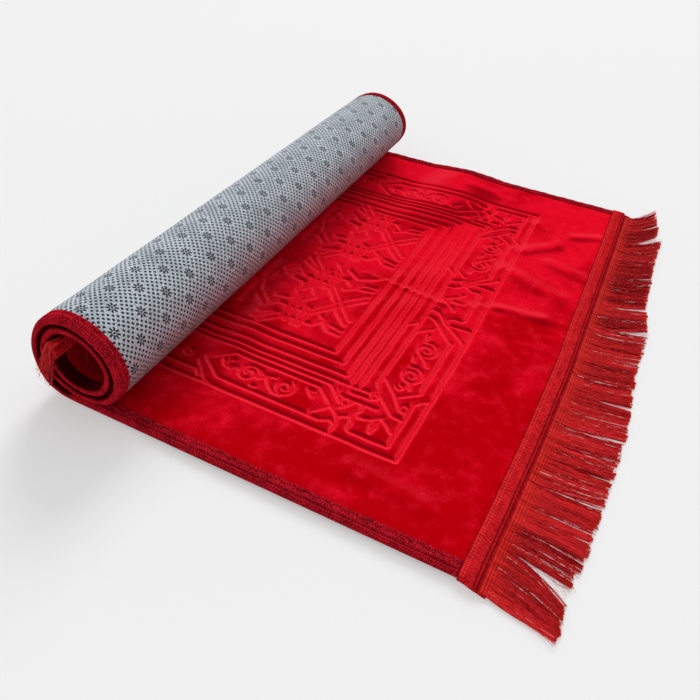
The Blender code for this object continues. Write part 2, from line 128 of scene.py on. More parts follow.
# %% [markdown]
# Four curves are used all over this script: one through the rows of a table, one that goes
# softly from 0 to 1, one that rises and falls again, and one that does so over and over.

# %% Soft curves
def smooth_rows(x, table):
    """Cubic curve through a table's rows: each span blends the two rows and their slopes."""
    rows = np.array(table, dtype=float)
    xs, ys = rows[:, 0], rows[:, 1]
    slope = np.gradient(ys, xs)
    slope[0] = 0.0
    i = np.clip(np.searchsorted(xs, x) - 1, 0, len(xs) - 2)
    span = xs[i + 1] - xs[i]
    t = np.clip((x - xs[i]) / span, 0.0, 1.0)
    start = (1 + 2 * t) * (1 - t) ** 2 * ys[i] + t * (1 - t) ** 2 * span * slope[i]
    end = t * t * (3 - 2 * t) * ys[i + 1] + t * t * (t - 1) * span * slope[i + 1]
    return start + end


def smooth_step(t):
    """0 below 0, 1 above 1, and three t squared less two t cubed in between."""
    t = np.clip(t, 0.0, 1.0)
    return t * t * (3 - 2 * t)


def bell(t):
    """1 at 0 and 0 beyond -1 and 1: the square of a cosine."""
    return np.cos(np.clip(t, -1.0, 1.0) * math.pi / 2) ** 2


def pulse(x, pitch):
    """From 0 to 1 and back once in every pitch, as a sine."""
    return 0.5 + 0.5 * np.sin(x * 2 * math.pi / pitch)


print("a quarter up the soft step:", smooth_step(0.25), "and half way down the bell:", bell(0.5))

# %% [markdown]
# The roll is wound with the pile inside. Its profile is worked out twice, round at the near end
# and let down at the far end, and the steps between its points give the length along the cloth.

# %% Profile of the roll
ANGLES = np.linspace(0.0, PATH_END_ANGLE, 1771)
FLAT_LENGTH = FRONT_X - ROLL_X


def roll_profile(squash):
    """Middle of the cloth round the roll: the radius turned by the angle, its top let down."""
    turn = np.radians(ANGLES)
    radius = smooth_rows(ANGLES, ROLL_TABLE) * MM
    from_floor = abs((ANGLES + 180.0) % 360.0 - 180.0)
    x = ROLL_X - radius * np.sin(turn)
    let_down = squash * smooth_step((from_floor - SQUASH_START) / SQUASH_SPAN)
    return x, ROLL_Z - radius * np.cos(turn) - let_down


NEAR_PROFILE, FAR_PROFILE = roll_profile(0.0), roll_profile(SQUASH)
MIDDLE = [(near + far) / 2 for near, far in zip(NEAR_PROFILE, FAR_PROFILE)]
ROLL_STEPS = np.hypot(np.diff(MIDDLE[0]), np.diff(MIDDLE[1]))
ROLL_S = FLAT_LENGTH + np.concatenate([[0.0], np.cumsum(ROLL_STEPS)])
CLOTH_LENGTH = float(np.interp(CLOTH_END_ANGLE, ANGLES, ROLL_S))
print("cloth is", round(CLOTH_LENGTH, 3), "m long, with", round(CLOTH_END_ANGLE / 360, 2), "turns")

# %% [markdown]
# A point of the flat rug has three numbers: s along it from the front end, y across it, and n up
# through its thickness. One function carries them to the real place, and every piece goes through
# it, so a stitch or a dot that is right on the flat rug is right on the roll as well.

# %% Laying the cloth
PATH_STEP = 0.0008


def middle_point(s, y):
    """Middle of the cloth: level in front of the roll, then between its near and far profile."""
    across = (y - NEAR_Y) / (FAR_Y - NEAR_Y)
    flat = s < FLAT_LENGTH
    x = np.where(flat, FRONT_X - s, np.interp(s, ROLL_S, NEAR_PROFILE[0]) * (1 - across)
                 + np.interp(s, ROLL_S, FAR_PROFILE[0]) * across)
    z = np.where(flat, THICKNESS / 2, np.interp(s, ROLL_S, NEAR_PROFILE[1]) * (1 - across)
                 + np.interp(s, ROLL_S, FAR_PROFILE[1]) * across)
    return x, z


def lift(x, y):
    """Height of the open cloth over the floor: a hump near the far edge, a swell by the roll."""
    hump = HUMP_HEIGHT * bell((x - HUMP_X) / HUMP_HALF_LENGTH)
    hump = hump * smooth_step((y - HUMP_START_Y) / HUMP_RISE_WIDTH)
    swell = SWELL_HEIGHT * bell((x - SWELL_X) / SWELL_HALF_LENGTH)
    return hump + swell * bell((y - SWELL_Y) / SWELL_HALF_WIDTH)


def lay(s, y, n):
    """Place of the flat coordinates s, y and n: the path's point, plus n less half the thickness
    times the normal, which is the path's direction turned by a right angle. The front end is then
    bowed, and its near corner splayed."""
    s, y, n = np.broadcast_arrays(np.asarray(s, float), np.asarray(y, float), np.asarray(n, float))
    x, z = middle_point(s, y)
    x_before, z_before = middle_point(s - PATH_STEP, y)
    x_after, z_after = middle_point(s + PATH_STEP, y)
    along_x, along_z = x_after - x_before, z_after - z_before
    length = np.hypot(along_x, along_z)
    offset = n - THICKNESS / 2
    x = x + offset * along_z / length
    z = z - offset * along_x / length + lift(x, y) * (s < FLAT_LENGTH)
    bow = smooth_rows(y / MM, FRONT_LINE) * MM - SEAM_X
    x = x + bow * (1 - smooth_step(s / BOW_ENDS))
    near_side = np.clip(y / NEAR_Y, 0.0, 1.2) ** 4
    beyond = smooth_step((HEADING_WIDTH - s) / (HEADING_WIDTH + SPLAY_REACH))
    y = y - CORNER_SPLAY * near_side * beyond
    return np.stack([x, y, z], axis=-1) + DRAWING


print("middle of the front end:", lay(0.0, 0.0, 0.0).round(4), "and of the inner end:",
      lay(CLOTH_LENGTH, 0.0, 0.0).round(4))

# %% [markdown]
# ## From arrays to meshes
# A surface here is an array of points with rows and columns. The faces between them follow from
# the counts alone, so one helper turns any such array into a mesh. It also stores the flat place
# of each point as a UV map, in metres, so that a woven or printed pattern follows the cloth round
# the roll.

# %% Mesh helpers
def grid_quads(rows, columns, wrap=False, start=0):
    """Corner numbers of the quads of a grid: each point, the next in its row, and the two above."""
    last = columns if wrap else columns - 1
    i, j = np.meshgrid(np.arange(rows - 1), np.arange(last), indexing="ij")
    after = (j + 1) % columns
    quads = np.stack([i * columns + j, i * columns + after,
                      (i + 1) * columns + after, (i + 1) * columns + j], axis=-1)
    return quads.reshape(-1, 4) + start


def make_mesh(name, points, faces, flat=None, values=None):
    """Mesh from points and faces of four or three corners, a corner of -1 being left out."""
    mesh = bpy.data.meshes.new(name)
    used = faces >= 0
    counts = used.sum(axis=1)
    mesh.vertices.add(len(points))
    mesh.vertices.foreach_set("co", np.ascontiguousarray(points, dtype=np.float32).ravel())
    mesh.loops.add(int(counts.sum()))
    corners = faces[used].astype(np.int32)
    mesh.loops.foreach_set("vertex_index", corners)
    mesh.polygons.add(len(faces))
    starts = np.concatenate([[0], np.cumsum(counts)[:-1]]).astype(np.int32)
    mesh.polygons.foreach_set("loop_start", starts)
    mesh.polygons.foreach_set("use_smooth", np.ones(len(faces), bool))
    mesh.update(calc_edges=True)
    mesh.validate()
    if flat is not None:
        layer = mesh.uv_layers.new(name="cloth")
        index = np.empty(len(mesh.loops), dtype=np.int32)
        mesh.loops.foreach_get("vertex_index", index)
        layer.data.foreach_set("uv", flat[index].astype(np.float32).ravel())
    for key, numbers in (values or {}).items():
        attribute = mesh.attributes.new(key, "FLOAT", "POINT")
        attribute.data.foreach_set("value", numbers.astype(np.float32))
    return mesh


def add_piece(name, mesh, finish, node):
    """Link a mesh as a piece of the rug, with its finish, in the place of a packed solid."""
    piece = bpy.data.objects.new(name, mesh)
    bpy.context.collection.objects.link(piece)
    mesh.materials.append(finish)
    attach(piece, "root")
    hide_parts(node)
    print(name, "has", len(mesh.polygons), "faces")
    return piece


def flat_map(s, y):
    """UV of a point: its distance along the rug and its distance from the near edge."""
    return np.stack([s, y - NEAR_Y], axis=-1).reshape(-1, 2)


print("a grid of 3 by 3 points has", len(grid_quads(3, 3)), "faces")

# %% [markdown]
# ## Writing materials as sums
# A material is a small calculation that runs at every point of a surface. Wired up node by node
# it is hard to read, so one small class stands for a socket and turns plus, minus and times into
# Math nodes. Colours go through Mix nodes, because a Math node would turn them grey.

# %% Sums of sockets
class Wire:
    """An output socket that can be used in sums and products."""

    def __init__(self, nodes, socket):
        self.nodes, self.socket = nodes, socket

    def math(self, operation, other=0.0):
        """A Math node on this value and another."""
        return self.nodes.add("ShaderNodeMath", {"operation": operation}, {0: self, 1: other})

    def __add__(self, other):
        return self.math("ADD", other)

    def __mul__(self, other):
        return self.math("MULTIPLY", other)

    def __sub__(self, other):
        return self.math("SUBTRACT", other)

    def __rsub__(self, other):
        return self * -1.0 + other

    __radd__, __rmul__ = __add__, __mul__


class Nodes:
    """A node tree, with one method that adds any node to it."""

    def __init__(self, tree):
        self.tree = tree

    def add(self, kind, settings=None, inputs=None, output=0):
        """Add a node: its settings first, then the value or link of each named socket."""
        node = self.tree.nodes.new(kind)
        for key, value in (settings or {}).items():
            setattr(node, key, value)
        for key, value in (inputs or {}).items():
            self.plug(node.inputs[key], value)
        return Wire(self, node.outputs[output])

    def plug(self, socket, value):
        """Link a wire to a socket, or set the socket's own value."""
        if isinstance(value, Wire):
            self.tree.links.new(value.socket, socket)
        else:
            socket.default_value = value


def colour(red, green, blue):
    """Linear colour from the three screen values of 0 to 255, by the screen's power law."""
    values = np.array([red, green, blue]) / 255.0
    low = values / 12.92
    high = ((values + 0.055) / 1.055) ** 2.4
    return (*np.where(values <= 0.04045, low, high).tolist(), 1.0)


print("the screen's middle grey is", round(colour(128, 128, 128)[0], 3), "as a share of light")

# %% [markdown]
# On top of that, a finish is a material with one Principled shader. Its methods are the few
# patterns that the rug needs: clouds, waves, soft limits, and the numbers stored in a mesh.

# %% A finish
class Finish(Nodes):
    """A material with one Principled shader, and the patterns that its colours are made of."""

    def __init__(self, name, **uniform):
        self.material = bpy.data.materials.new(name)
        self.material.use_nodes = True
        super().__init__(self.material.node_tree)
        self.shader = self.tree.nodes["Principled BSDF"]
        self.feed(**uniform)

    def feed(self, **links):
        """Set or link the shader's sockets by name."""
        for key, value in links.items():
            self.plug(self.shader.inputs[key.replace("_", " ")], value)

    def mix(self, factor, first, second):
        """Colour that goes from the first to the second as the factor goes from 0 to 1."""
        settings = {"data_type": "RGBA", "clamp_factor": True}
        return self.add("ShaderNodeMix", settings, {0: factor, 6: first, 7: second}, output=2)

    def flat(self):
        """Place on the flat cloth, in metres."""
        return self.add("ShaderNodeUVMap", {"uv_map": "cloth"})

    def noise(self, place, scale, detail=2.0, stretch=None):
        """Cloudy values about one half; stretch makes the clouds longer in one direction."""
        if stretch:
            place = self.add("ShaderNodeMapping", None, {"Vector": place, "Scale": stretch})
        return self.add("ShaderNodeTexNoise", None,
                        {"Vector": place, "Scale": scale, "Detail": detail})

    def spread(self, value, low, high):
        """0 below low, 1 above high, and a soft step in between."""
        settings = {"interpolation_type": "SMOOTHSTEP"}
        return self.add("ShaderNodeMapRange", settings,
                        {"Value": value, "From Min": low, "From Max": high})

    def split(self, place):
        """The first two coordinates of a place."""
        first = self.add("ShaderNodeSeparateXYZ", None, {0: place})
        return first, Wire(self, first.socket.node.outputs[1])

    def wave(self, value, period):
        """1 at every whole period and 0 half way between."""
        return (value * (2 * math.pi / period)).math("COSINE") * 0.5 + 0.5

    def value_of(self, attribute):
        """A number stored in the mesh's points."""
        return self.add("ShaderNodeAttribute", {"attribute_name": attribute}, None, output=2)

    def relief(self, height, distance, strength):
        """Normal of a surface raised by height times distance."""
        return self.add("ShaderNodeBump", None,
                        {"Height": height, "Distance": distance, "Strength": strength})


print("a finish knows:", sorted(name for name in vars(Finish) if name.isalpha()))

# %% [markdown]
# ## Crimson velvet
# Velvet is a lawn of short upright fibres. Where a hand has brushed it, the fibres lie over and the
# same dye looks lighter or darker, so the colour needs clouds of several sizes. Light and shade are
# painted into the colour as well: the mesh stores, as `painted_slope_light`, a painted highlight on
# walls of the pressed lines and on folds that face the far side, the ends or the light, and painted
# shade on those that face the near edge, and `pressed` says where the pattern is. At the edge of a
# fold the fibre tips catch the light, which is the shader's sheen.

# %% Finish of the velvet
# Painted light: the colour gets lighter towards the roll and the far side, and in a patch in the far
# half of the front margin.
BRIGHT_END, BRIGHT_SIDE = 0.16, 0.30
PAINTED_PATCH_START, PAINTED_PATCH_END = (0.365, 0.16), (0.395, 0.12)


def velvet_finish():
    """Crimson with painted light that makes it lighter towards the roll, the far side and the far
    half of the front margin, with clouds on top of it; pressed lines are lighter, walls and folds get
    a painted highlight or painted shade from their slope, and single fibres are darker."""
    finish = Finish("crimson_velvet", Roughness=0.80, Sheen_Weight=0.30, Sheen_Roughness=0.35,
                    Sheen_Tint=colour(255, 20, 50), Specular_IOR_Level=0.0)
    place = finish.flat()
    hand = finish.noise(place, 11.0, 3.0)
    brushed = finish.noise(place, 60.0, 4.0)
    grain = finish.noise(place, 520.0, 3.0)
    pile = finish.noise(place, 1500.0, 1.0)
    pressed, painted_slope_light = finish.value_of("pressed"), finish.value_of("painted_slope_light")
    along, across = finish.split(place)
    corner = (finish.spread(across, PAINTED_PATCH_START[0], PAINTED_PATCH_END[0])
              * finish.spread(along, PAINTED_PATCH_START[1], PAINTED_PATCH_END[1]))
    # Painted light: lighter towards the roll, the far side and the far half of the front margin.
    painted_light = (along - BRIGHT_END) * 0.25 + (across - BRIGHT_SIDE) * 0.36 + corner * 0.04
    clouds = finish.spread(hand * 0.75 + brushed * 0.25 + painted_light, 0.38, 0.66)
    shade = finish.mix(clouds, colour(190, 0, 12), colour(246, 14, 42))
    shade = finish.mix(finish.spread(brushed, 0.46, 0.84) * 0.40, shade, colour(255, 34, 60))
    shade = finish.mix(finish.spread(pressed, 0.10, 0.75) * 0.70, shade, colour(255, 24, 46))
    # Painted highlight where the slope light is above zero, painted shade where it is below.
    shade = finish.mix(finish.spread(painted_slope_light, 0.03, 0.38) * 0.80, shade, colour(255, 46, 68))
    shade = finish.mix(finish.spread(painted_slope_light, -0.03, -0.40) * 0.76, shade, colour(116, 0, 6))
    shade = finish.mix(finish.spread(grain, 0.58, 0.38) * 0.40, shade, colour(150, 0, 10))
    finish.feed(Base_Color=finish.mix(pile * 0.2, shade, colour(150, 0, 10)),
                Normal=finish.relief(pile + grain * 0.8, 0.0006, 0.55))
    return finish.material


VELVET = velvet_finish()
print(VELVET.name, "has", len(VELVET.node_tree.nodes), "nodes")

# %% [markdown]
# ## Felt with grip dots
# The underside is needled felt with a print of rubber dots that stop it from sliding. The dots
# stand in a diamond lattice, and every sixth one is the middle of a small flower with eight
# petals. A texture of dots isn't needed: the distance to the nearest lattice point, worked out
# from the flat place, gives them at any size.

# %% Distances in a lattice
DOT_PITCH_ALONG, DOT_PITCH_ACROSS = 0.00610, 0.00640
DOT_RADIUS = 0.00136
FLOWER_EVERY = 6
FLOWER_ALONG, FLOWER_ACROSS = 0.6280, 0.0810
PETALS = 8
PETAL_START, PETAL_END, PETAL_HALF = 0.0029, 0.0051, 0.00100
HEART_RADIUS, CLEAR_RADIUS = 0.00125, 0.00755
PRINT_EDGE, RING_EDGE = 0.0002, 0.00015
RED_BOUNCE_START, RED_BOUNCE_END = 0.640, 0.718


def lattice_offsets(along, across, pitch_along, pitch_across, shift):
    """Way to the nearest point of a lattice, moved on by a share of its pitch."""
    offsets = []
    for value, pitch in ((along, pitch_along), (across, pitch_across)):
        steps = value * (1 / pitch) + (0.5 + shift)
        offsets.append((steps.math("FRACT") - 0.5) * pitch)
    return offsets


def radius_of(offsets):
    """Square root of the sum of the two squares."""
    return (offsets[0] * offsets[0] + offsets[1] * offsets[1]).math("SQRT")


def petal_distance(offsets, middle):
    """Distance from the nearest petal: the direction is folded into one petal's share of a
    turn, and the way is measured to a short line that points outwards."""
    turn = offsets[1].math("ARCTAN2", offsets[0]) * (PETALS / (2 * math.pi)) + 0.5
    folded = (turn.math("FRACT") - 0.5) * (2 * math.pi / PETALS)
    outward, aside = middle * folded.math("COSINE"), middle * folded.math("SINE")
    on_line = outward.math("MAXIMUM", PETAL_START).math("MINIMUM", PETAL_END)
    return radius_of([outward - on_line, aside])


print("flowers stand", round(DOT_PITCH_ALONG * FLOWER_EVERY / MM, 1), "mm apart")

# %% [markdown]
# The lattice of a diamond pattern is two square lattices, one moved on by half a pitch, so each
# distance is worked out twice and the nearer one is kept. Where the felt comes round to the floor, a
# painted red reflection of the velvet is laid over it.

# %% Finish of the felt
def printed_pattern(finish, along, across, uneven):
    """1 on a dot, a petal or a flower's heart. The dots stay clear of the flowers."""
    dots, flowers, clear = [], [], []
    for shift in (0.0, 0.5):
        near = lattice_offsets(along, across, DOT_PITCH_ALONG, DOT_PITCH_ACROSS, shift)
        dots.append(radius_of(near))
        wide = lattice_offsets(along, across, DOT_PITCH_ALONG * FLOWER_EVERY,
                               DOT_PITCH_ACROSS * FLOWER_EVERY, shift)
        middle = radius_of(wide)
        petals = finish.spread(petal_distance(wide, middle), PETAL_HALF + PRINT_EDGE,
                               PETAL_HALF - PRINT_EDGE)
        heart = finish.spread(middle, HEART_RADIUS + RING_EDGE, HEART_RADIUS - RING_EDGE)
        flowers.append(petals.math("MAXIMUM", heart))
        clear.append(finish.spread(middle, CLEAR_RADIUS - RING_EDGE, CLEAR_RADIUS + RING_EDGE))
    dot = finish.spread(dots[0].math("MINIMUM", dots[1]) + uneven, DOT_RADIUS + PRINT_EDGE,
                        DOT_RADIUS - PRINT_EDGE) * (clear[0] * clear[1])
    return dot.math("MAXIMUM", flowers[0].math("MAXIMUM", flowers[1]))


def felt_finish():
    """Grey fibres, light and dark, with a painted red reflection of the velvet near the floor and the
    smoother print on top.
    """
    finish = Finish("dotted_felt", Roughness=0.95, Specular_IOR_Level=0.10, Sheen_Weight=0.10,
                    Sheen_Roughness=0.6)
    place = finish.flat()
    along, across = finish.split(place)
    # Painted reflection: red light from the velvet, laid over the felt near the floor.
    painted_red_bounce = finish.spread(along, RED_BOUNCE_START, RED_BOUNCE_END) * 0.88
    fibres = finish.noise(place, 900.0, 3.0, stretch=(1.0, 0.6, 1.0))
    clouds = finish.noise(place, 35.0, 2.0)
    printed = printed_pattern(finish, along - FLOWER_ALONG, across - FLOWER_ACROSS,
                              (fibres - 0.5) * 0.0004)
    felt = finish.mix(finish.spread(fibres * 0.75 + clouds * 0.25, 0.30, 0.66),
                      colour(122, 132, 142), colour(204, 212, 220))
    felt = finish.mix(painted_red_bounce, felt, colour(128, 26, 44))
    finish.feed(Base_Color=finish.mix(printed * 0.97, felt, colour(12, 14, 20)),
                Roughness=0.95 - printed * 0.35,
                Normal=finish.relief(fibres * 0.5 + printed * 0.8, 0.0004, 0.6))
    return finish.material


FELT = felt_finish()
print(FELT.name, "has", len(FELT.node_tree.nodes), "nodes")

# %% [markdown]
# ## Woven tape
# The edges are bound with a narrow tape of shiny polyester. Its fine threads cross the tape, a few
# thicker ones run along it, and a line of machine stitches holds it. The threads are far too fine for
# geometry, so they are a relief in the shader, and only the folds and the stitched furrows are
# modelled. Painted shade darkens the furrows, the valleys between the ribs and the seams, and the
# brightest specks are painted glints.

# %% Finishes of the tapes
RIB_WANDER = 0.0015


def tape_finish(name, dark, bright, glint_and_stitch, stretch, rib, depth):
    """Tape with fine threads, painted shade in the valleys between its ribs and in its furrows, and
    bright specks that are painted glints. The painted shade is above zero, and its bright stitches
    below."""
    finish = Finish(name, Roughness=0.8, Specular_IOR_Level=0.0, Sheen_Weight=0.20,
                    Sheen_Roughness=0.45, Sheen_Tint=colour(255, 30, 40))
    place = finish.flat()
    threads = finish.noise(place, 520.0, 3.0, stretch=stretch)
    speckle = finish.noise(place, 1300.0, 2.0)
    clouds = finish.noise(place, 60.0, 3.0)
    across = finish.split(place)[1] + (clouds - 0.5) * RIB_WANDER
    # Painted shade: the valleys between the ribs, and the furrows, seams and hidden parts stored in
    # the mesh, are darkened.
    valley = finish.spread(finish.wave(across, rib), 0.45, 0.0)
    pressed = finish.value_of("painted_shade_and_stitches")
    painted_shade_and_stitches, stitch = pressed.math("MAXIMUM", valley * depth), finish.spread(pressed, -0.15, -0.70)
    tone = finish.spread(threads * 0.45 + speckle * 0.35 + clouds * 0.2, 0.40, 0.60)
    shade = finish.mix(tone, dark, bright)
    # Painted glints: the brightest specks are mixed towards the glint colour.
    shade = finish.mix(finish.spread(speckle, 0.58, 0.70) * 0.7, shade, glint_and_stitch)
    shade = finish.mix(painted_shade_and_stitches * 0.96, shade, colour(36, 0, 5))
    # The bright stitches are thread of the same colour as the painted glints.
    finish.feed(Base_Color=finish.mix(stitch * 0.50, shade, glint_and_stitch),
                Normal=finish.relief(threads + speckle - painted_shade_and_stitches, 0.0005, 0.7))
    return finish.material


BINDING = tape_finish("binding_tape", colour(94, 6, 16), colour(206, 24, 42), colour(250, 78, 86),
                      (1.5, 0.5, 1.0), 0.0024, 0.50)
HEADING = tape_finish("heading_tape", colour(156, 8, 20), colour(222, 34, 42), colour(252, 76, 68),
                      (0.35, 1.4, 1.0), 0.0017, 0.30)
print(BINDING.name, "has", len(BINDING.node_tree.nodes), "nodes")

# %% [markdown]
# ## Yarn
# A fringe is spun yarn, and no two yarns take the light alike. Each one's own tone is a number in
# its mesh, and so is `reach`, from 0 at its root to 1 at its cut tip. Near the root the yarns are
# held by a few woven rows.

# %% Finish of the yarns
ROOT_ROWS = 0.042


def yarn_finish():
    """Shiny yarn, each with its own tone, more orange near the header and at the cut tips."""
    finish = Finish("fringe_yarn", Specular_IOR_Level=0.06, Specular_Tint=colour(255, 110, 110),
                    Sheen_Weight=0.08, Sheen_Tint=colour(255, 60, 60), Sheen_Roughness=0.4,
                    Roughness=0.55)
    tone, reach = finish.value_of("tone"), finish.value_of("reach")
    twist = finish.noise(finish.flat(), 400.0, 2.0, stretch=(0.6, 1.0, 1.0))
    light = finish.spread(tone * 0.60 + twist * 0.40, 0.30, 0.74)
    rows = finish.wave(reach, ROOT_ROWS) * finish.spread(reach, 0.20, 0.06) * (twist * 1.4 - 0.1)
    shade = finish.mix(light, colour(122, 0, 10), colour(246, 58, 62))
    ends = finish.spread(reach, 0.30, 0.0) * 0.60 + finish.spread(reach, 0.90, 1.0) * 0.6
    shade = finish.mix(ends, shade, colour(236, 50, 38))
    finish.feed(Base_Color=finish.mix(rows, shade, colour(140, 2, 14)))
    return finish.material


YARN = yarn_finish()
print(YARN.name, "has", len(YARN.node_tree.nodes), "nodes")

# %% [markdown]
# ## The pressed border
# The pattern is pressed into the pile with a hot die: nested frames, long cartouches with
# scrolling tendrils, straps that cross between them, and feathery leaves in the field. Each line
# is a short list of places on the flat rug, drawn for one half and mirrored for the other. The
# depth at a point falls off with its distance from the nearest line, narrow at the bottom and
# wide at the shoulders, which leaves the straps between the lines softly rounded.

# %% Lines of the border, in millimetres: x towards the front, y across
MIRROR_Y, PANEL_Y = 1.0, 5.0
HIDDEN_X = -430.0
FRAMES = ((-65.5, -264.0), (-162.5, -180.0), (-176.0, -164.5), (-192.0, -152.5))
RAILS = (
    ((HIDDEN_X, -191.5), (-129, -191.5), (-124, -186)),
    ((-152.5, -191.5), (-152.5, 1)),
    ((-142, -191.5), (-142, 1)),
    ((-127.5, 1), (-127.5, -174), (-119, -188), (-95, -210.5), (-81, -211.5)),
    ((HIDDEN_X, -199.5), (-172, -200), (-151, -219)),
    ((-148, -200.5), (-125, -200.5), (-120, -197.5)),
    ((-162, -202), (-158.5, -208.5), (-150, -210.5), (-112.5, -210.5)),
)
CARTOUCHES = (
    ((-144, -238), (-157, -228.5), (-181, -209.5), (-289, -208.5), (-314, -230),
     (-287, -250.5), (-160, -251.5), (-149, -246), (-144, -249)),
    ((-173, -251), (-173, -246), (-164, -236.5), (-157, -229)),
    ((-317, -239), (-297, -260), (-287, -263)),
    ((HIDDEN_X, -251), (-314, -250), (-306, -258)),
    ((-126, -161), (-102, -183), (-90, -199.5), (-83, -200.5)),
    ((-102, -184), (-81, -167), (-81, -73), (-86, -70), (-109, -45)),
    ((-127, -73), (-111, -59)),
)
CORNER = (
    ((-66, -172), (-75, -179), (-80.5, -185), (-80.5, -251.3), (-124, -251.3), (-127.5, -249),
     (-127.5, -239), (-131, -231), (-144, -238), (-141.5, -250), (-141, -263)),
    ((-128, -211), (-127, -221), (-133, -229)),
    ((-139, -212), (-142, -219), (-151, -228)),
    ((-124, -230), (-112, -226), (-101, -218)),
    ((-99, -221), (-92.5, -225), (-85, -232.5)),
    ((-105.5, -227), (-107, -234), (-105, -242), (-102.5, -234), (-105, -227), (-105, -238)),
)
PANEL = (
    ((-81.5, 5), (-81.5, -25), (-84, -28), (-94, -27.5), (-101, -32), (-100, -36), (-96, -42),
     (-68, -41)),
    ((-127, -22), (-116, -24), (-108, -31), (-103, -38), (-98, -43), (-88, -50), (-79, -57),
     (-69, -67)),
    ((-126, -37), (-115, -40), (-109, -45)),
    ((-107, 5), (-93, 5)),
    ((-119, 3), (-111, -3), (-104, -7), (-100.5, -13)),
    ((-141, -65), (-133, -58), (-127, -50)),
)
SPIRALS = (
    # centre x, centre y, first and last radius, first angle, turns
    (-260, -229, 13.5, 3.5, 15.0, 1.55),
    (-214, -229, 12.5, 3.5, 60.0, -1.45),
    (-284, -225, 5.0, 4.0, 90.0, 0.65),
    (-102, -98, 15.0, 3.5, 115.0, -1.55),
    (-101, -145, 15.0, 3.5, 115.0, -1.55),
    (-105, -167, 4.5, 2.5, 200.0, 0.7),
    (-147, -214.5, 4.8, 4.8, 0.0, 1.0),
    (-122, -194.5, 3.6, 3.6, 0.0, 1.0),
    (-87, -195, 4.2, 4.2, 0.0, 1.0),
    (-337, -232, 4.2, 4.2, 0.0, 1.0),
)
STEMS = (
    ((-294, -225), (-290, -231), (-282, -233), (-276, -228)),
    ((-251, -218), (-243.5, -223), (-230, -221)),
    ((-237, -225), (-236, -229), (-230, -235), (-222, -241), (-213, -241.5)),
    ((-251, -229), (-246, -231), (-239, -224)),
    ((-248, -244), (-243, -243.5)),
    ((-190, -219), (-183, -219.5)),
    ((-187, -222), (-181, -227)),
    ((-110, -72), (-108.5, -80)),
    ((-104, -110), (-96, -116), (-91, -124)),
    ((-110, -115), (-108, -122)),
    ((-97, -158), (-94, -166)),
)
KNOT = (
    # upper half of the knot in the field: x, then height over the knot's own middle line
    ((-308, 60), (-295, 53), (-288, 51), (-242, 51), (-232, 38), (-219, 51), (-204, 52)),
    ((-312, 47), (-296, 33), (-252, 32), (-225, 0), (-204, -22)),
    ((-258, 24), (-254, 24), (-225, -14), (-206, -32)),
    ((-238, 31), (-225, 40), (-205, 44)),
    ((-300, 77), (-288, 64), (-276, 51)),
    ((-308, 72), (-284, 48)),
    ((-282, 58), (-282, 12), (-289, 0)),
    ((-273, 58), (-273, 14), (-263, 0)),
    ((-262, 60), (-262, 22)),
    ((-255, 60), (-255, 24)),
    ((-306, 22), (-290, 19), (-284, 6)),
    ((-340, 50), (-340, 8)),
    ((-327, 18), (-336, 0)),
    ((-318, 26), (-308, 36)),
    ((-325, 34), (-311, 46)),
)
KNOT_MIDDLES = (-72.0, 86.0)
BETWEEN_KNOTS = (
    ((-250, -1), (-233, -12), (-220, -6), (-206, 3)),
    ((-268, 5), (-257, -9)),
)
LINE_WIDTH, SHOULDER_WIDTH = 2.3, 4.2
LINE_DEPTH, SHOULDER_DEPTH = 1.45, 0.6
LEAF_THINNER = 0.70


print("the border is drawn from", len(RAILS + CARTOUCHES + CORNER + PANEL + STEMS), "lines")

# %% [markdown]
# The scrolls are drawn by a formula, the halves are mirrored, and the knot is drawn twice. What
# the shape needs in the end is one number for each point of the rug: how far it is from the
# nearest line.

# %% From lines to distances
SCROLL_POINTS = 18


def spiral(centre_x, centre_y, first, last, start, turns):
    """Points of a scroll: the radius shrinks steadily while the angle goes round."""
    t = np.linspace(0.0, 1.0, SCROLL_POINTS)
    angle = np.radians(start) + t * turns * 2 * math.pi
    radius = first + (last - first) * t
    return np.stack([centre_x + radius * np.cos(angle), centre_y + radius * np.sin(angle)], axis=1)


def mirrored(lines, middle):
    """The lines and their mirror images across the rug."""
    lines = [np.array(line, float) for line in lines]
    return lines + [line * (1.0, -1.0) + (0.0, 2 * middle) for line in lines]


def border_lines():
    """The near half of the border and its mirror image, and the panel between them."""
    frames = [((HIDDEN_X, y), (x, y), (x, MIRROR_Y)) for x, y in FRAMES]
    half = frames + list(RAILS + CARTOUCHES + CORNER + STEMS) + [spiral(*row) for row in SPIRALS]
    return mirrored(half, MIRROR_Y) + mirrored(PANEL, PANEL_Y)


def knot_lines():
    """The knot's half is mirrored about its middle line, and the whole is drawn twice."""
    knot = mirrored(KNOT, 0.0)
    both = [line + (0.0, middle) for middle in KNOT_MIDDLES for line in knot]
    return both + list(BETWEEN_KNOTS)


def segments_of(lines):
    """Start and end points of every straight piece of the lines."""
    lines = [np.array(line, float) for line in lines]
    return np.concatenate([np.stack([line[:-1], line[1:]], axis=1) for line in lines])


def nearest_line(x, y, segments):
    """Distance from each point to the nearest segment: the point is dropped on each segment in
    turn, the foot is kept between its ends, and the shortest way wins."""
    best = np.full(x.shape, 1e9)
    for (ax, ay), (bx, by) in segments:
        along_x, along_y = bx - ax, by - ay
        share = ((x - ax) * along_x + (y - ay) * along_y) / (along_x ** 2 + along_y ** 2)
        share = np.clip(share, 0.0, 1.0)
        best = np.minimum(best, (x - ax - share * along_x) ** 2 + (y - ay - share * along_y) ** 2)
    return np.sqrt(best)


BORDER, KNOTS = segments_of(border_lines()), segments_of(knot_lines())
print("the pattern has", len(BORDER) + len(KNOTS), "straight pieces")

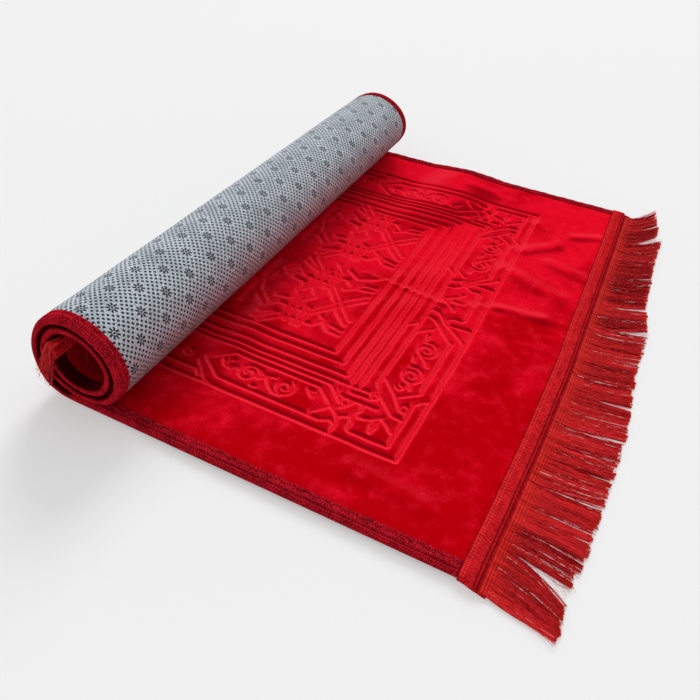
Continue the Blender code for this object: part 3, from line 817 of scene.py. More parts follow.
# %% [markdown]
# ## The velvet
# The open part needs a fine grid to hold the pressed lines, and the rolled part doesn't, so they
# are two pieces that meet out of sight under the roll. Rows and columns are close together only
# where there is pattern. The padding is pinched where a tape holds it.

# %% Heights in the thickness
FELT_TUCK, FELT_BOUND, FIT = 0.0012, 0.0013, 0.0003
PILE_TOP, PILE_BOTTOM, BOUND_TOP = 0.0094, 0.0019, 0.0085
BINDING_WIDTH, PINCH = 0.0155, 0.0215
TAPE = 0.0011
SEAM_GAP = TAPE + FIT
HEADING_DROP = 0.0014
RIM_REACH, RIM_DROP = 0.0055, 0.0013


def held(s, y):
    """1 where tape holds the cloth's edge, 0 in the open field, with a rounded change."""
    side = np.minimum(y - NEAR_Y, FAR_Y - y)
    end = np.minimum(s, CLOTH_LENGTH - s)
    by_side = (PINCH - side) / (PINCH - BINDING_WIDTH)
    by_end = (PINCH - end) / (PINCH - HEADING_WIDTH)
    return smooth_step(np.maximum(by_side, by_end))


def front_drop(s):
    """Slope of the front heading, from nothing at its inner edge to its full drop."""
    return HEADING_DROP * np.clip(1 - s / HEADING_WIDTH, 0.0, 1.0)


def rim(y):
    """1 at the bound long edges, where the cloth is rounded off, and 0 in the field."""
    return smooth_step((RIM_REACH - np.minimum(y - NEAR_Y, FAR_Y - y)) / (RIM_REACH * 0.75))


print("the padding is", round((PILE_TOP - PILE_BOTTOM) / MM, 1), "mm thick in the field")

# %% [markdown]
# A foam pad that has been rolled up keeps slow waves and a few soft folds, the clearest of them in
# the front margin. They are heights added to the top. The pressed pattern is a height too, taken
# away, and its steepness and that of the folds give the painted highlight and painted shade that the
# finish puts into its colour.

# %% Folds and pressed lines
FOLDS = (
    # x and y of both ends, height and width, all in millimetres
    (-232, 4, -170, -1, 0.30, 4.0), (-170, -1, -116, -7, 0.40, 4.0), (-116, -7, -52, 20, 0.30, 6.0),
    (-52, 20, 0, 25, 0.60, 8.0), (0, 25, 40, 30, 0.40, 9.0), (-61, 242, -22, 206, 0.80, 10.0),
    (-4, 234, 30, 250, 0.70, 9.0), (-64, 160, -20, 196, 0.80, 11.0), (-71, 105, 11, 77, 1.00, 14.0),
    (-20, 150, 34, 136, 0.90, 12.0), (-50, -130, 30, -70, 0.45, 16.0),
    (-100, -292, -20, -300, 0.70, 14.0), (-190, 300, -120, 290, 0.60, 12.0),
)
WAVE_HEIGHT, HAND_WOBBLE = 0.22, 0.22
SLOPE_LIGHT_ENDS, SLOPE_LIGHT_BROAD = 0.48, (2.75, 4.15)


def ripples(s, y):
    """Slow waves, and folds that are bell-shaped across their own line."""
    height = np.sin(s * 61 + 3 * np.sin(y * 17)) * np.cos(y * 41 + 2 * np.sin(s * 23))
    height = WAVE_HEIGHT * height
    for x_a, y_a, x_b, y_b, rise, width in FOLDS:
        segment = np.array([[[x_a, y_a], [x_b, y_b]]], float)
        away = nearest_line((FRONT_X - s) / MM, y / MM, segment)
        height = height + rise * np.exp(-(away / width) ** 2)
    return height * MM


def pressed_depth(s, y):
    """Depth of the pattern, and its share from 0 to 1, faded out under the roll. The lines
    wobble a little, as foam does under a die."""
    x, across = (FRONT_X - s) / MM, y / MM
    x = x + HAND_WOBBLE * np.sin(across / 7.3 + 2)
    across = across + HAND_WOBBLE * np.sin(x / 8.9)
    away = np.minimum(nearest_line(x, across, BORDER), LEAF_THINNER * nearest_line(x, across, KNOTS))
    line = np.exp(-(away / LINE_WIDTH) ** 2.6)
    shoulder = np.exp(-(away / SHOULDER_WIDTH) ** 2)
    fade = smooth_step((FLAT_LENGTH + 0.01 - s) / 0.03)
    return (LINE_DEPTH * line + SHOULDER_DEPTH * shoulder) * MM * fade, shoulder * fade


def painted_light_from_slopes(s_places, y_places, depth, broad):
    """Painted light from slopes, stored for the colour: most on walls that face the far edge, less on
    those that face the rug's ends, and painted shade on walls that face the near edge. Broad waves
    count too, by their slope towards the far left, where the sun is."""
    slope_s, slope_y = np.gradient(depth, s_places, y_places)
    broad_s, broad_y = np.gradient(broad, s_places, y_places)
    return slope_y + SLOPE_LIGHT_ENDS * abs(slope_s) - SLOPE_LIGHT_BROAD[0] * broad_s - SLOPE_LIGHT_BROAD[1] * broad_y


print("pressed", round(pressed_depth(FRONT_X + 0.0655, 0.0)[0] / MM, 2), "mm deep at the outer frame")

# %% [markdown]
# A sheet has a top, a bottom and a wall round its rim, and it has to be closed for the export. A
# plain slab has the same grid above and below. The pressed velvet would waste faces that way: its
# bottom takes only every few rows and columns, and triangles in the wall make up the difference.

# %% Closed sheets
def spans(*parts):
    """Places along a line: each part gives its start, end and wanted step."""
    places = [np.linspace(start, end, max(2, int(round((end - start) / step)) + 1))[:-1]
              for start, end, step in parts]
    return np.concatenate(places + [[parts[-1][1]]])


def trimmed(places, coarse):
    """Places cut to a count of one more than a multiple of coarse, the last one kept."""
    keep = (len(places) - 1) // coarse * coarse
    chosen = np.round(np.linspace(0, len(places) - 1, keep + 1)).astype(int)
    return places[chosen]


def rim_places(rows, columns):
    """Row and column of each point round a grid's rim: along the first row, down the last
    column, back along the last row, and up the first column."""
    down, along = np.arange(rows - 1), np.arange(columns - 1)
    i = np.concatenate([0 * along, down, 0 * along + rows - 1, rows - 1 - down])
    j = np.concatenate([along, 0 * down + columns - 1, columns - 1 - along, 0 * down])
    return i, j


def slab(name, s, y, top, bottom, values=None, flip=False):
    """Closed sheet: a top grid, a bottom grid, and a wall of quads round their shared rim."""
    rows, columns = s.shape
    count = rows * columns
    i, j = rim_places(rows, columns)
    edge = i * columns + j
    after = np.roll(edge, -1)
    wall = np.stack([edge, after, after + count, edge + count], axis=1)
    low_quads = grid_quads(rows, columns, start=count)
    faces = np.concatenate([grid_quads(rows, columns), low_quads[:, ::-1], wall[:, ::-1]])
    points = np.concatenate([lay(s, y, top).reshape(-1, 3), lay(s, y, bottom).reshape(-1, 3)])
    flat = np.tile(flat_map(s, y), (2, 1))
    doubled = {key: np.tile(numbers.ravel(), 2) for key, numbers in (values or {}).items()}
    return make_mesh(name, points, faces[:, ::-1] if flip else faces, flat, doubled)


def relief_sheet(name, s, y, top, bottom_at, values, coarse):
    """Fine top with a bottom of every coarse-th row and column, and triangles round the rim."""
    rows, columns = s.shape
    low_s, low_y = s[::coarse, ::coarse], y[::coarse, ::coarse]
    low_rows, low_columns = low_s.shape
    count = rows * columns
    i, j = rim_places(rows, columns)
    fine = i * columns + j
    forward = np.arange(len(i)) < rows + columns - 2
    low_i = np.where(forward, i // coarse, -(-i // coarse))
    low_j = np.where(forward, j // coarse, -(-j // coarse))
    low = count + low_i * low_columns + low_j
    fine_after, low_after = np.roll(fine, -1), np.roll(low, -1)
    blank = np.full(len(fine), -1)
    wall = np.stack([fine, fine_after, low, blank], axis=1)
    more = np.stack([fine_after, low_after, low, blank], axis=1)[low_after != low]
    low_quads = grid_quads(low_rows, low_columns, start=count)
    faces = np.concatenate([grid_quads(rows, columns), low_quads[:, ::-1], wall[:, ::-1],
                            more[:, ::-1]])
    points = np.concatenate([lay(s, y, top).reshape(-1, 3),
                             lay(low_s, low_y, bottom_at(low_s, low_y)).reshape(-1, 3)])
    flat = np.concatenate([flat_map(s, y), flat_map(low_s, low_y)])
    both = {key: np.concatenate([numbers.ravel(), numbers[::coarse, ::coarse].ravel()])
            for key, numbers in values.items()}
    return make_mesh(name, points, faces, flat, both)


print("a rim of 3 by 3 points has", len(rim_places(3, 3)[0]), "places")

# %% [markdown]
# ## Two velvet sheets
# The open velvet's grid has a row or column every millimetre and a half inside the border. The
# rolled velvet is plain, and its grid only has to follow the bend and the pinched edges.

# %% Velvet pieces
VELVET_SPLIT, PIECE_GAP = 0.4520, 0.0002
FINE, COARSE = 0.0015, 6
EDGE_ZONE, END_ZONE = 0.024, 0.025
PATTERN_START, PATTERN_END, PATTERN_NEAR, PATTERN_FAR = 0.108, 0.390, -0.272, 0.274
ROLLED_PAINTED_SHADE = -0.80
CLOTH_NEAR, CLOTH_FAR = NEAR_Y + SEAM_GAP, FAR_Y - SEAM_GAP


def velvet_top(s, y, depth):
    """Pile height less the pressed depth in the field, and the bound height under the tapes."""
    grip = held(s, y)
    bound = BOUND_TOP - front_drop(s) - 1.2 * RIM_DROP * rim(y)
    return (PILE_TOP + ripples(s, y) - depth) * (1 - grip) + bound * grip


def velvet_bottom(s, y):
    """Just above the felt, in the field and under the tapes."""
    bound = FELT_TUCK + FELT_BOUND + FIT + RIM_DROP * rim(y)
    return PILE_BOTTOM * (1 - held(s, y)) + bound * held(s, y)


def across_places(middle_step):
    """Places across the cloth, close together at its edges."""
    return spans((CLOTH_NEAR, NEAR_Y + EDGE_ZONE, FINE),
                 (NEAR_Y + EDGE_ZONE, FAR_Y - EDGE_ZONE, middle_step),
                 (FAR_Y - EDGE_ZONE, CLOTH_FAR, FINE))


open_s = trimmed(spans((0.0, 0.030, 0.0030), (0.030, PATTERN_START, 0.0050),
                       (PATTERN_START, PATTERN_END, FINE), (PATTERN_END, VELVET_SPLIT, 0.004)),
                 COARSE)
open_y = trimmed(spans((CLOTH_NEAR, PATTERN_NEAR, 0.0035), (PATTERN_NEAR, PATTERN_FAR, FINE),
                       (PATTERN_FAR, CLOTH_FAR, 0.0035)), COARSE)
grid_s, grid_y = np.meshgrid(open_s, open_y, indexing="ij")
depth, share = pressed_depth(grid_s, grid_y)
broad = ripples(grid_s, grid_y) + lift(FRONT_X - grid_s, grid_y)
velvet_open = add_piece(
    "velvet_open",
    relief_sheet("velvet_open", grid_s, grid_y, velvet_top(grid_s, grid_y, depth), velvet_bottom,
                 {"pressed": share, "painted_slope_light": painted_light_from_slopes(open_s, open_y, depth, broad)}, COARSE),
    VELVET, "pile_cloth")

# Painted shade: the rolled velvet lies inside the roll, and its stored slope light is set below zero
# all over to darken it.
roll_s = spans((VELVET_SPLIT + PIECE_GAP, CLOTH_LENGTH - END_ZONE, 0.0035),
               (CLOTH_LENGTH - END_ZONE, CLOTH_LENGTH, 0.0018))
grid_s, grid_y = np.meshgrid(roll_s, across_places(0.02), indexing="ij")
velvet_roll = add_piece(
    "velvet_roll",
    slab("velvet_roll", grid_s, grid_y, velvet_top(grid_s, grid_y, 0.0),
         velvet_bottom(grid_s, grid_y),
         {"pressed": np.zeros(grid_s.shape), "painted_slope_light": np.full(grid_s.shape, ROLLED_PAINTED_SHADE)}),
    VELVET, "pile_cloth")

# %% [markdown]
# ## The felt
# One plain sheet under the whole rug. It follows the same path at the bottom of the thickness, so
# it comes out as the outside of the roll.

# %% Felt
FELT_TOP, FELT_WAVE = 0.0016, 0.00018
felt_s = spans((0.0, 0.03, 0.003), (0.03, FLAT_LENGTH, 0.008),
               (FLAT_LENGTH, CLOTH_LENGTH - END_ZONE, 0.0030),
               (CLOTH_LENGTH - END_ZONE, CLOTH_LENGTH, 0.002))
grid_s, grid_y = np.meshgrid(felt_s, across_places(0.012), indexing="ij")
grip = held(grid_s, grid_y)
soft = FELT_WAVE * np.sin(grid_s * 90 + 2 * np.sin(grid_y * 21)) * (grid_s > FLAT_LENGTH + 0.03)
felt = add_piece(
    "felt_backing",
    slab("felt_backing", grid_s, grid_y,
         FELT_TOP * (1 - grip) + (FELT_TUCK + FELT_BOUND + RIM_DROP * rim(grid_y)) * grip,
         soft * (1 - grip) + (FELT_TUCK + RIM_DROP * rim(grid_y)) * grip),
    FELT, "grip_backing")

# %% [markdown]
# ## The side bindings
# Tape folded over a long edge is a profile carried along a path: over the pile, round the edge
# and back under the felt. Two furrows in the profile are the rows of stitches, and the inner one
# wanders in scallops because the machine pulled the tape as it went. A tube of tape is closed at
# both ends, so it needs no other piece to stop light.

# %% Outline of the binding
BINDING_POINTS = 72
BINDING_TABLE = (
    # share of the outline, distance from the rug's edge, height in the thickness
    (0.00, 0.0152, 0.0096), (0.10, 0.0130, 0.0100), (0.28, 0.0070, 0.0100),
    (0.40, 0.0036, 0.0094), (0.46, 0.0018, 0.0085), (0.52, 0.0006, 0.0070),
    (0.58, 0.0000, 0.0052), (0.64, 0.0004, 0.0034), (0.70, 0.0016, 0.0016),
    (0.77, 0.0036, 0.0005), (0.84, 0.0060, 0.0001), (1.00, 0.0152, 0.0001),
)
FOLD_MIDDLE, FOLD_EDGE = (0.0085, 0.0050), 0.0151
TAPE_SHARE = 0.9
HALF_HEIGHT = THICKNESS / 2


def binding_profile():
    """Outline of the folded tape: distance from the rug's edge, and height. It goes over the top,
    round the edge and under, and then back inside the fold, nearer to the fold's middle."""
    share, distance, level = np.array(BINDING_TABLE).T
    t = np.linspace(0.0, 1.0, BINDING_POINTS // 2)
    outer = np.stack([np.interp(t, share, distance), np.interp(t, share, level)])
    inward = np.array(FOLD_MIDDLE)[:, None] - outer
    inner = outer + inward / np.maximum(abs(inward[1]), abs(inward[0]))[None] * TAPE * TAPE_SHARE
    inner[0, :3], inner[0, -3:] = FOLD_EDGE, FOLD_EDGE
    return np.concatenate([outer, inner[:, ::-1]], axis=1)


def tape_faces(rows, columns, flip):
    """Faces of a folded tape: quads round its outline, and at each end a cap that joins the outer
    half of the outline to the inner half."""
    half = np.arange(columns // 2)
    back = columns - 1 - half
    cap = np.stack([half[:-1], half[1:], back[1:], back[:-1]], axis=1)
    last = cap + (rows - 1) * columns
    faces = np.concatenate([grid_quads(rows, columns, wrap=True), cap[:, ::-1], last])
    return faces[:, ::-1] if flip else faces


print("the binding's outline has", binding_profile().shape[1], "points")

# %% [markdown]
# The thread pulls the tape in at every stitch, and no hand guides it quite straight, so small waves
# go into the height and into the inner edge. Where the tape is wound inside the roll, and at its foot
# on the open part, its shade is painted into the mesh together with the shade of the furrows.

# %% Side bindings
STITCH_ROWS = ((0.0052, 0.0, 0.0), (0.0106, 0.0016, 0.0165))
STITCH_WIDTH, STITCH_DENT, THREAD_PITCH = 0.0006, 0.0005, 0.0052
SCALLOP_EDGE, SCALLOP_PITCH, SCALLOP_START = 0.00045, 0.0058, 0.0150
ROLL_CLEAR, INNER_TURN = 0.02, 0.335


def stitch_furrows(s, across):
    """Depth from 0 to 1 of the stitch rows: bells across each row, which may be scalloped."""
    depth = np.zeros(s.shape)
    for row, scallop, period in STITCH_ROWS:
        centre = row + (scallop * abs(np.sin(math.pi * s / period)) if period else 0.0)
        depth = np.maximum(depth, np.exp(-((across - centre) / STITCH_WIDTH) ** 2))
    return depth


def painted_tape_shade(s, height):
    """Painted shade on the tape: on its upper half inside the roll, on its lower half from the second
    turn on, and at its foot on the open part."""
    upper = smooth_step((height - 0.0072) / 0.0014) * (s > FLAT_LENGTH + ROLL_CLEAR)
    lower = smooth_step((0.0028 - height) / 0.0014) * (s > FLAT_LENGTH + INNER_TURN)
    foot = 0.85 * smooth_step((0.0042 - height) / 0.0024) * (s < FLAT_LENGTH + ROLL_CLEAR)
    return upper + lower + foot


def make_binding(name, edge_y, inward, node):
    """Carry the profile along the rug, and press the stitch rows into its top and bottom."""
    start, end = HEADING_WIDTH + FIT, CLOTH_LENGTH - HEADING_WIDTH - FIT
    s_places = spans((start, FLAT_LENGTH, 0.0020), (FLAT_LENGTH, end, 0.0017))
    across, level = binding_profile()
    half = BINDING_POINTS // 2
    arc = np.append(0.0, np.cumsum(np.hypot(np.diff(across[:half]), np.diff(level[:half]))))
    s, across = np.meshgrid(s_places, across, indexing="ij")
    height = np.broadcast_to(level, s.shape)
    outside = np.arange(BINDING_POINTS) < half
    depth = stitch_furrows(s, across) * outside * (abs(height - HALF_HEIGHT) > 0.0040)
    pulled = pulse(s, THREAD_PITCH)
    wobble = 0.00022 * np.sin(s * 150 + across * 300) + 0.00018 * np.sin(s * 410)
    sign = np.where(height > HALF_HEIGHT, 1.0, -1.0)
    height = height - sign * depth * STITCH_DENT * (0.6 + 0.4 * pulled)
    height = height + wobble * (height > HALF_HEIGHT) * outside
    edge = (across > SCALLOP_START) * (SCALLOP_EDGE * np.sin(s * 2 * math.pi / SCALLOP_PITCH))
    points = lay(s, edge_y + inward * (across + edge), height).reshape(-1, 3)
    arc = np.broadcast_to(np.concatenate([arc, arc[::-1]]), s.shape)
    # Painted shade: the stitch furrows and the shaded parts of the tape are stored as darkness for
    # its colour.
    painted_shade_and_stitches = np.clip(depth * (0.65 + 0.35 * pulled) + painted_tape_shade(s, height), 0.0, 1.0)
    mesh = make_mesh(name, points, tape_faces(*s.shape, flip=inward > 0),
                     np.stack([s, arc], axis=-1).reshape(-1, 2), {"painted_shade_and_stitches": painted_shade_and_stitches.ravel()})
    return add_piece(name, mesh, BINDING, node)


binding_near = make_binding("binding_near_tape", NEAR_Y, 1, "binding_near")
binding_far = make_binding("binding_far_tape", FAR_Y, -1, "binding_far")

# %% [markdown]
# ## The headings
# The tape over each end of the cloth is ribbed, with two rows of stitches next to the velvet. It is
# the same kind of surface as the binding, but carried across the rug instead of along it. Its
# stitches are of a bright thread, so they are written as negative furrows, and painted shade along
# the seams at its two edges as positive ones.

# %% Headings
HEADING_TABLE = (
    # share of the outline, distance from the end of the cloth, height in the thickness
    (0.00, 0.0168, 0.0092), (0.03, 0.0164, 0.0101), (0.50, 0.0020, 0.0100),
    (0.56, 0.0000, 0.0098), (0.60, -0.0011, 0.0088), (0.64, -0.0014, 0.0068),
    (0.72, -0.0014, 0.0014), (0.75, -0.0010, 0.0002), (0.80, 0.0010, 0.0001),
    (1.00, 0.0166, 0.0001),
)
HEADING_POINTS = 58
STITCHES, STITCH_SPREAD, STITCH_PITCH = (0.0146, 0.0118), 0.0007, 0.0036
SEAM_SHADE_LINES = ((0.0163, 0.0006), (0.0012, 0.0009))
HEADING_STEP = 0.0012


def heading_outline():
    """Profile along the rug from the velvet over the end and back under: distance from the end of the
    cloth, height, and depth of the furrows, which also carries the painted shade of the seams and,
    below zero, the bright stitches."""
    share, distance, level = np.array(HEADING_TABLE).T
    t = np.linspace(0.0, 1.0, HEADING_POINTS)
    along, height = np.interp(t, share, distance), np.interp(t, share, level)
    painted_shade_and_stitches = sum(np.exp(-((along - place) / width) ** 2) for place, width in SEAM_SHADE_LINES)
    for row in STITCHES:
        painted_shade_and_stitches = painted_shade_and_stitches - np.exp(-((along - row) / STITCH_SPREAD) ** 2)
    return along, height, painted_shade_and_stitches * (height > 0.008)


def make_heading(name, end_s, inward, node):
    """Carry the outline across the rug; the tape is pulled in a little by each stitch."""
    along, level, painted_shade_and_stitches = heading_outline()
    y, along = np.meshgrid(spans((NEAR_Y, FAR_Y, HEADING_STEP)), along, indexing="ij")
    height, painted_shade_and_stitches = np.broadcast_to(level, y.shape), np.broadcast_to(painted_shade_and_stitches, y.shape)
    drop = front_drop(along) if inward > 0 else 0.0
    height = height - drop * smooth_step((height - 0.004) / 0.004)
    pulled = pulse(y, STITCH_PITCH)
    wobble = 0.00022 * np.sin(y * 130 + along * 200) + 0.00012 * np.sin(y * 520)
    upper = smooth_step((height - 0.006) / 0.002)
    height = height - abs(painted_shade_and_stitches) * STITCH_DENT * (0.6 + 0.4 * pulled) + wobble * upper
    rounded = 0.90 + 0.10 * smooth_step(np.minimum(y - NEAR_Y, FAR_Y - y) / 0.004)
    height = HALF_HEIGHT + (height - HALF_HEIGHT) * rounded
    s = end_s + inward * along + 0.00025 * np.sin(y * 47)
    mesh = make_mesh(name, lay(s, y, height).reshape(-1, 3), tape_faces(*y.shape, flip=inward < 0),
                     flat_map(s + 0.6 * height, y),
                     {"painted_shade_and_stitches": (painted_shade_and_stitches * np.where(painted_shade_and_stitches < 0, pulled, 0.8)).ravel()})
    return add_piece(name, mesh, HEADING, node)


heading_front = make_heading("heading_front_tape", 0.0, 1, "heading_front")
heading_inner = make_heading("heading_inner_tape", CLOTH_LENGTH, -1, "heading_inner")

# %% [markdown]
# ## The fringe
# Fringe is a woven header from which hundreds of loose yarns hang. On the floor they lie in locks
# that have been combed and pushed about. A table says where each lock's root and tip are. Inside
# a lock the yarns keep together in thin strands that share their way, their tone and their
# length. The disorder comes from a seeded generator, so the rug looks the same each time.

# %% Locks and strands
FRONT_LOCKS = (
    # root_a, root_b, tip_a, tip_b, reach_a, reach_b, in millimetres
    (-350, -300, -361, -327, 65, 61), (-300, -256, -309, -259, 61, 66),
    (-256, -218, -257, -218, 66, 66), (-218, -182, -212, -181, 66, 67),
    (-182, -130, -178, -123, 67, 68), (-130, -76, -120, -71, 68, 65),
    (-76, 0, -64, 8, 64, 61), (0, 53, 11, 66, 61, 64), (53, 104, 77, 118, 61, 57),
    (104, 165, 122, 181, 54, 51), (165, 224, 184, 249, 52, 49),
    (224, 268, 253, 300, 50, 51), (268, 310, 309, 344, 42, 42), (310, 346, 347, 390, 41, 31),
)
STRANDS = 330
random = np.random.default_rng(11)
strand_ends = np.concatenate([[NEAR_Y], np.sort(random.uniform(NEAR_Y, FAR_Y, STRANDS - 1)),
                              [FAR_Y]])
strand_shift = random.normal(0.0, 0.0012, STRANDS)
strand_pull = random.uniform(0.0, 0.6, STRANDS) * (random.random(STRANDS) < 0.5)
strand_phase = random.uniform(0.0, 2 * math.pi, STRANDS)
strand_tone = random.uniform(0.0, 1.0, STRANDS)
strand_rise = random.uniform(0.0, 0.0012, STRANDS)
strand_length = random.uniform(0.945, 1.015, STRANDS)


def lock_tips(roots):
    """Tip and reach of yarns at these roots: each lock's row is followed from end to end."""
    rows = np.array(FRONT_LOCKS, float) * MM
    lock = np.clip(np.searchsorted(rows[:, 1], roots), 0, len(rows) - 1)
    part = (roots - rows[lock, 0]) / (rows[lock, 1] - rows[lock, 0])
    tip = rows[lock, 2] + (rows[lock, 3] - rows[lock, 2]) * part
    reach = rows[lock, 4] + (rows[lock, 5] - rows[lock, 4]) * part
    return tip, reach


print(len(FRONT_LOCKS), "locks hold", STRANDS, "strands")

# %% [markdown]
# The header is the strip in which the yarns are woven together. It slopes down from the heading to
# the floor, with a rib for each woven row. Painted shade darkens the valleys between the ribs and the
# strip where it is sewn on, next to the heading.

# %% Headers
HEADER_BACK, HEADER_WIDTH = -(SEAM_GAP - FIT), 0.0100
HEADER_POINTS, HEADER_RIBS = 22, 6
RIB_HEIGHT, RIB_STEP = 0.0005, 0.0030
SEWN_PART, SEWN_SHADE = 0.28, 0.34


def make_header(name, back_s, front_s, back, front, node):
    """Slab between two lines across the rug: back and front give its lowest and highest level at
    each of them."""
    y_places = spans((NEAR_Y + FIT, FAR_Y - FIT, RIB_STEP))
    y, part = np.meshgrid(y_places, np.linspace(0.0, 1.0, HEADER_POINTS), indexing="ij")
    s = back_s + (front_s - back_s) * part
    ribs = 0.5 + 0.5 * np.cos(part * 2 * math.pi * HEADER_RIBS)
    low = back[0] + (front[0] - back[0]) * part
    top = back[1] + (front[1] - back[1]) * part
    top = top + RIB_HEIGHT * ribs * (0.7 + 0.3 * pulse(y, THREAD_PITCH))
    # Painted shade between the ribs and along the sewn strip.
    painted_shade_and_stitches = (1 - ribs) * 0.45 + SEWN_SHADE * smooth_step((SEWN_PART - part) / 0.12)
    mesh = slab(name, s, y, top, low, {"painted_shade_and_stitches": np.clip(painted_shade_and_stitches, 0, 1)}, flip=front_s > back_s)
    return add_piece(name, mesh, HEADING, node)


header_front = make_header("fringe_front_header", HEADER_BACK, HEADER_BACK - HEADER_WIDTH,
                           (0.0008, 0.0060), (0.0002, 0.0024), "fringe_front")
inner_back = CLOTH_LENGTH + SEAM_GAP + FIT
header_inner = make_header("fringe_inner_header", inner_back, inner_back + HEADER_WIDTH,
                           (0.0030, 0.0066), (0.0038, 0.0058), "fringe_inner")

# %% [markdown]
# A yarn is a path with a small triangle round each of its points. Thousands of them are built at
# once: the paths are one array of yarns, points and coordinates, and so are the rings.

# %% Yarns as tubes
YARN_STEPS = 12


def tubes(name, paths, widths, heights, roots, tones, node):
    """Three-sided tapered yarns: a triangle round each path point, joined to the next one."""
    count, steps, _ = paths.shape
    direction = np.gradient(paths, axis=1)
    direction /= np.linalg.norm(direction, axis=2, keepdims=True)
    up = np.array([0.0, 0.0, 1.0]) - direction * direction[..., 2:3]
    up /= np.maximum(np.linalg.norm(up, axis=2, keepdims=True), 1e-6)
    side = np.cross(direction, up)
    turns = np.radians([90.0, 210.0, 330.0])
    ring = (side[:, :, None] * np.cos(turns)[None, None, :, None] * widths[:, :, None, None]
            + up[:, :, None] * np.sin(turns)[None, None, :, None] * heights[:, :, None, None])
    points = (paths[:, :, None] + ring).reshape(-1, 3)
    base = (np.arange(count) * steps * 3)[:, None, None]
    quads = (grid_quads(steps, 3, wrap=True)[None, :, ::-1] + base).reshape(-1, 4)
    tip = (steps - 1) * 3
    ends = np.array([[[0, 1, 2], [tip + 2, tip + 1, tip]]]) + base
    caps = np.concatenate([ends, np.full((count, 2, 1), -1)], axis=2).reshape(-1, 4)
    reach = np.broadcast_to(np.linspace(0.0, 1.0, steps)[None, :, None], (count, steps, 3))
    tone = np.broadcast_to(tones[:, None, None], (count, steps, 3))
    flat = np.stack([reach * 0.07, np.broadcast_to(roots[:, None, None], reach.shape)], axis=-1)
    mesh = make_mesh(name, points, np.concatenate([quads, caps]), flat.reshape(-1, 2),
                     {"tone": tone.ravel(), "reach": reach.ravel()})
    return add_piece(name, mesh, YARN, node)


def joined(layers):
    """One set of arrays from several layers of yarns."""
    return [np.concatenate(parts) for parts in zip(*layers)]


print("a yarn has", YARN_STEPS * 3, "points")

# %% [markdown]
# The front yarns come off the header, drop to the floor and lie on it, each at its own small
# height. The first lock is pushed outwards from its root on, and the others bend more and more on
# their way. A dense flat layer lies under the loose yarns, because in a real fringe no floor shows
# between the roots.

# %% Front fringe
YARN_ROOT, ROOT_MARGIN = 0.0034, 0.0004
DROP_PLACES, DROP_HEIGHTS = (0.0, HEADER_WIDTH * 0.3, HEADER_WIDTH), (0.0063, 0.0058, 0.0032)
DROP_LENGTH = 0.014
BEND, CORNER_BEND, CORNER_Y, CORNER_SPAN = 1.6, 0.75, -0.310, 0.04
STRAND_WAVE, CURL_SHARE, CURL_RATES = 0.0007, 0.45, (4.0, 13.0)
STRAND_TONE, OWN_TONE, FAR_PAINTED_SHADE = 0.45, 0.35, 0.20


def front_yarns(count, width, height, low, high, disorder, follow, tone, ends=(NEAR_Y, FAR_Y)):
    """Yarns off the header, then level on the floor between the heights low and high. They keep to
    their strand's shift and wave as far as follow says, and share its rise, its length and part of
    its tone; towards the far end the tone is darkened with painted shade."""
    roots = np.sort(random.uniform(ends[0] + ROOT_MARGIN, ends[1] - ROOT_MARGIN, count))
    tip, reach = lock_tips(roots)
    strand = np.clip(np.searchsorted(strand_ends, roots) - 1, 0, STRANDS - 1)
    middle = (strand_ends[strand] + strand_ends[strand + 1]) / 2
    tip = tip + follow * (strand_shift[strand] + (middle - roots) * strand_pull[strand])
    tip = tip + random.normal(0.0, disorder, count)
    reach = reach * strand_length[strand] * random.uniform(0.985, 1.005, count)
    t = np.linspace(0.0, 1.0, YARN_STEPS)[None]
    start = lay(np.full(count, HEADER_BACK), roots, np.full(count, HALF_HEIGHT))
    run = YARN_ROOT + (HEADER_WIDTH - YARN_ROOT + reach)[:, None] * t
    past = np.maximum(run - HEADER_WIDTH, 0.0) / reach[:, None]
    phase, rate = strand_phase[strand][:, None], random.uniform(*CURL_RATES, (count, 1))
    own = random.uniform(0.0, 2 * math.pi, (count, 1))
    wave = (STRAND_WAVE * follow * (np.sin(past * 4.5 + phase) - np.sin(phase))
            + disorder * CURL_SHARE * (np.sin(past * rate + own) - np.sin(own)))
    level = random.uniform(low, high, (count, 1)) + strand_rise[strand][:, None]
    z = np.interp(run, DROP_PLACES, DROP_HEIGHTS)
    z = z + (level - z) * smooth_step((run - HEADER_WIDTH * 0.8) / DROP_LENGTH)
    z = z * (1 - 0.25 * past) + 0.0004 * np.sin(past * rate * 1.3 + own) * past
    z = np.maximum(z, height * 0.6 + 0.0001)
    bend = (BEND - CORNER_BEND * smooth_step((CORNER_Y - roots) / CORNER_SPAN))[:, None]
    y = start[:, 1:2] + (tip - roots)[:, None] * past ** bend + wave * smooth_step(past / 0.3)
    paths = np.stack([start[:, :1] + run, y, z], axis=-1)
    thick = (1.0 - 0.35 * t) * random.uniform(0.7, 1.25, (count, 1))
    tones = tone + STRAND_TONE * strand_tone[strand] + random.uniform(0.0, OWN_TONE, count)
    tones = tones - FAR_PAINTED_SHADE * smooth_step((roots + 0.10) / 0.30)
    return paths, thick * width, thick * height, roots, tones


FRINGE_BODY = (
    # count, half width, half height, lowest and highest place, disorder, follow, lowest tone, ends
    (760, 0.00140, 0.00042, 0.0004, 0.0006, 0.0004, 0.1, 0.02),
    (1500, 0.00046, 0.00036, 0.0008, 0.0020, 0.0012, 1.0, 0.27),
)
FRINGE_LOOSE = (
    (900, 0.00024, 0.00022, 0.0012, 0.0034, 0.0036, 1.0, 0.40),
    (90, 0.00022, 0.00020, 0.0010, 0.0034, 0.0110, 1.0, 0.25, (-0.330, -0.275)),
    (40, 0.00022, 0.00020, 0.0010, 0.0030, 0.0080, 1.0, 0.25, (0.250, 0.290)),
)

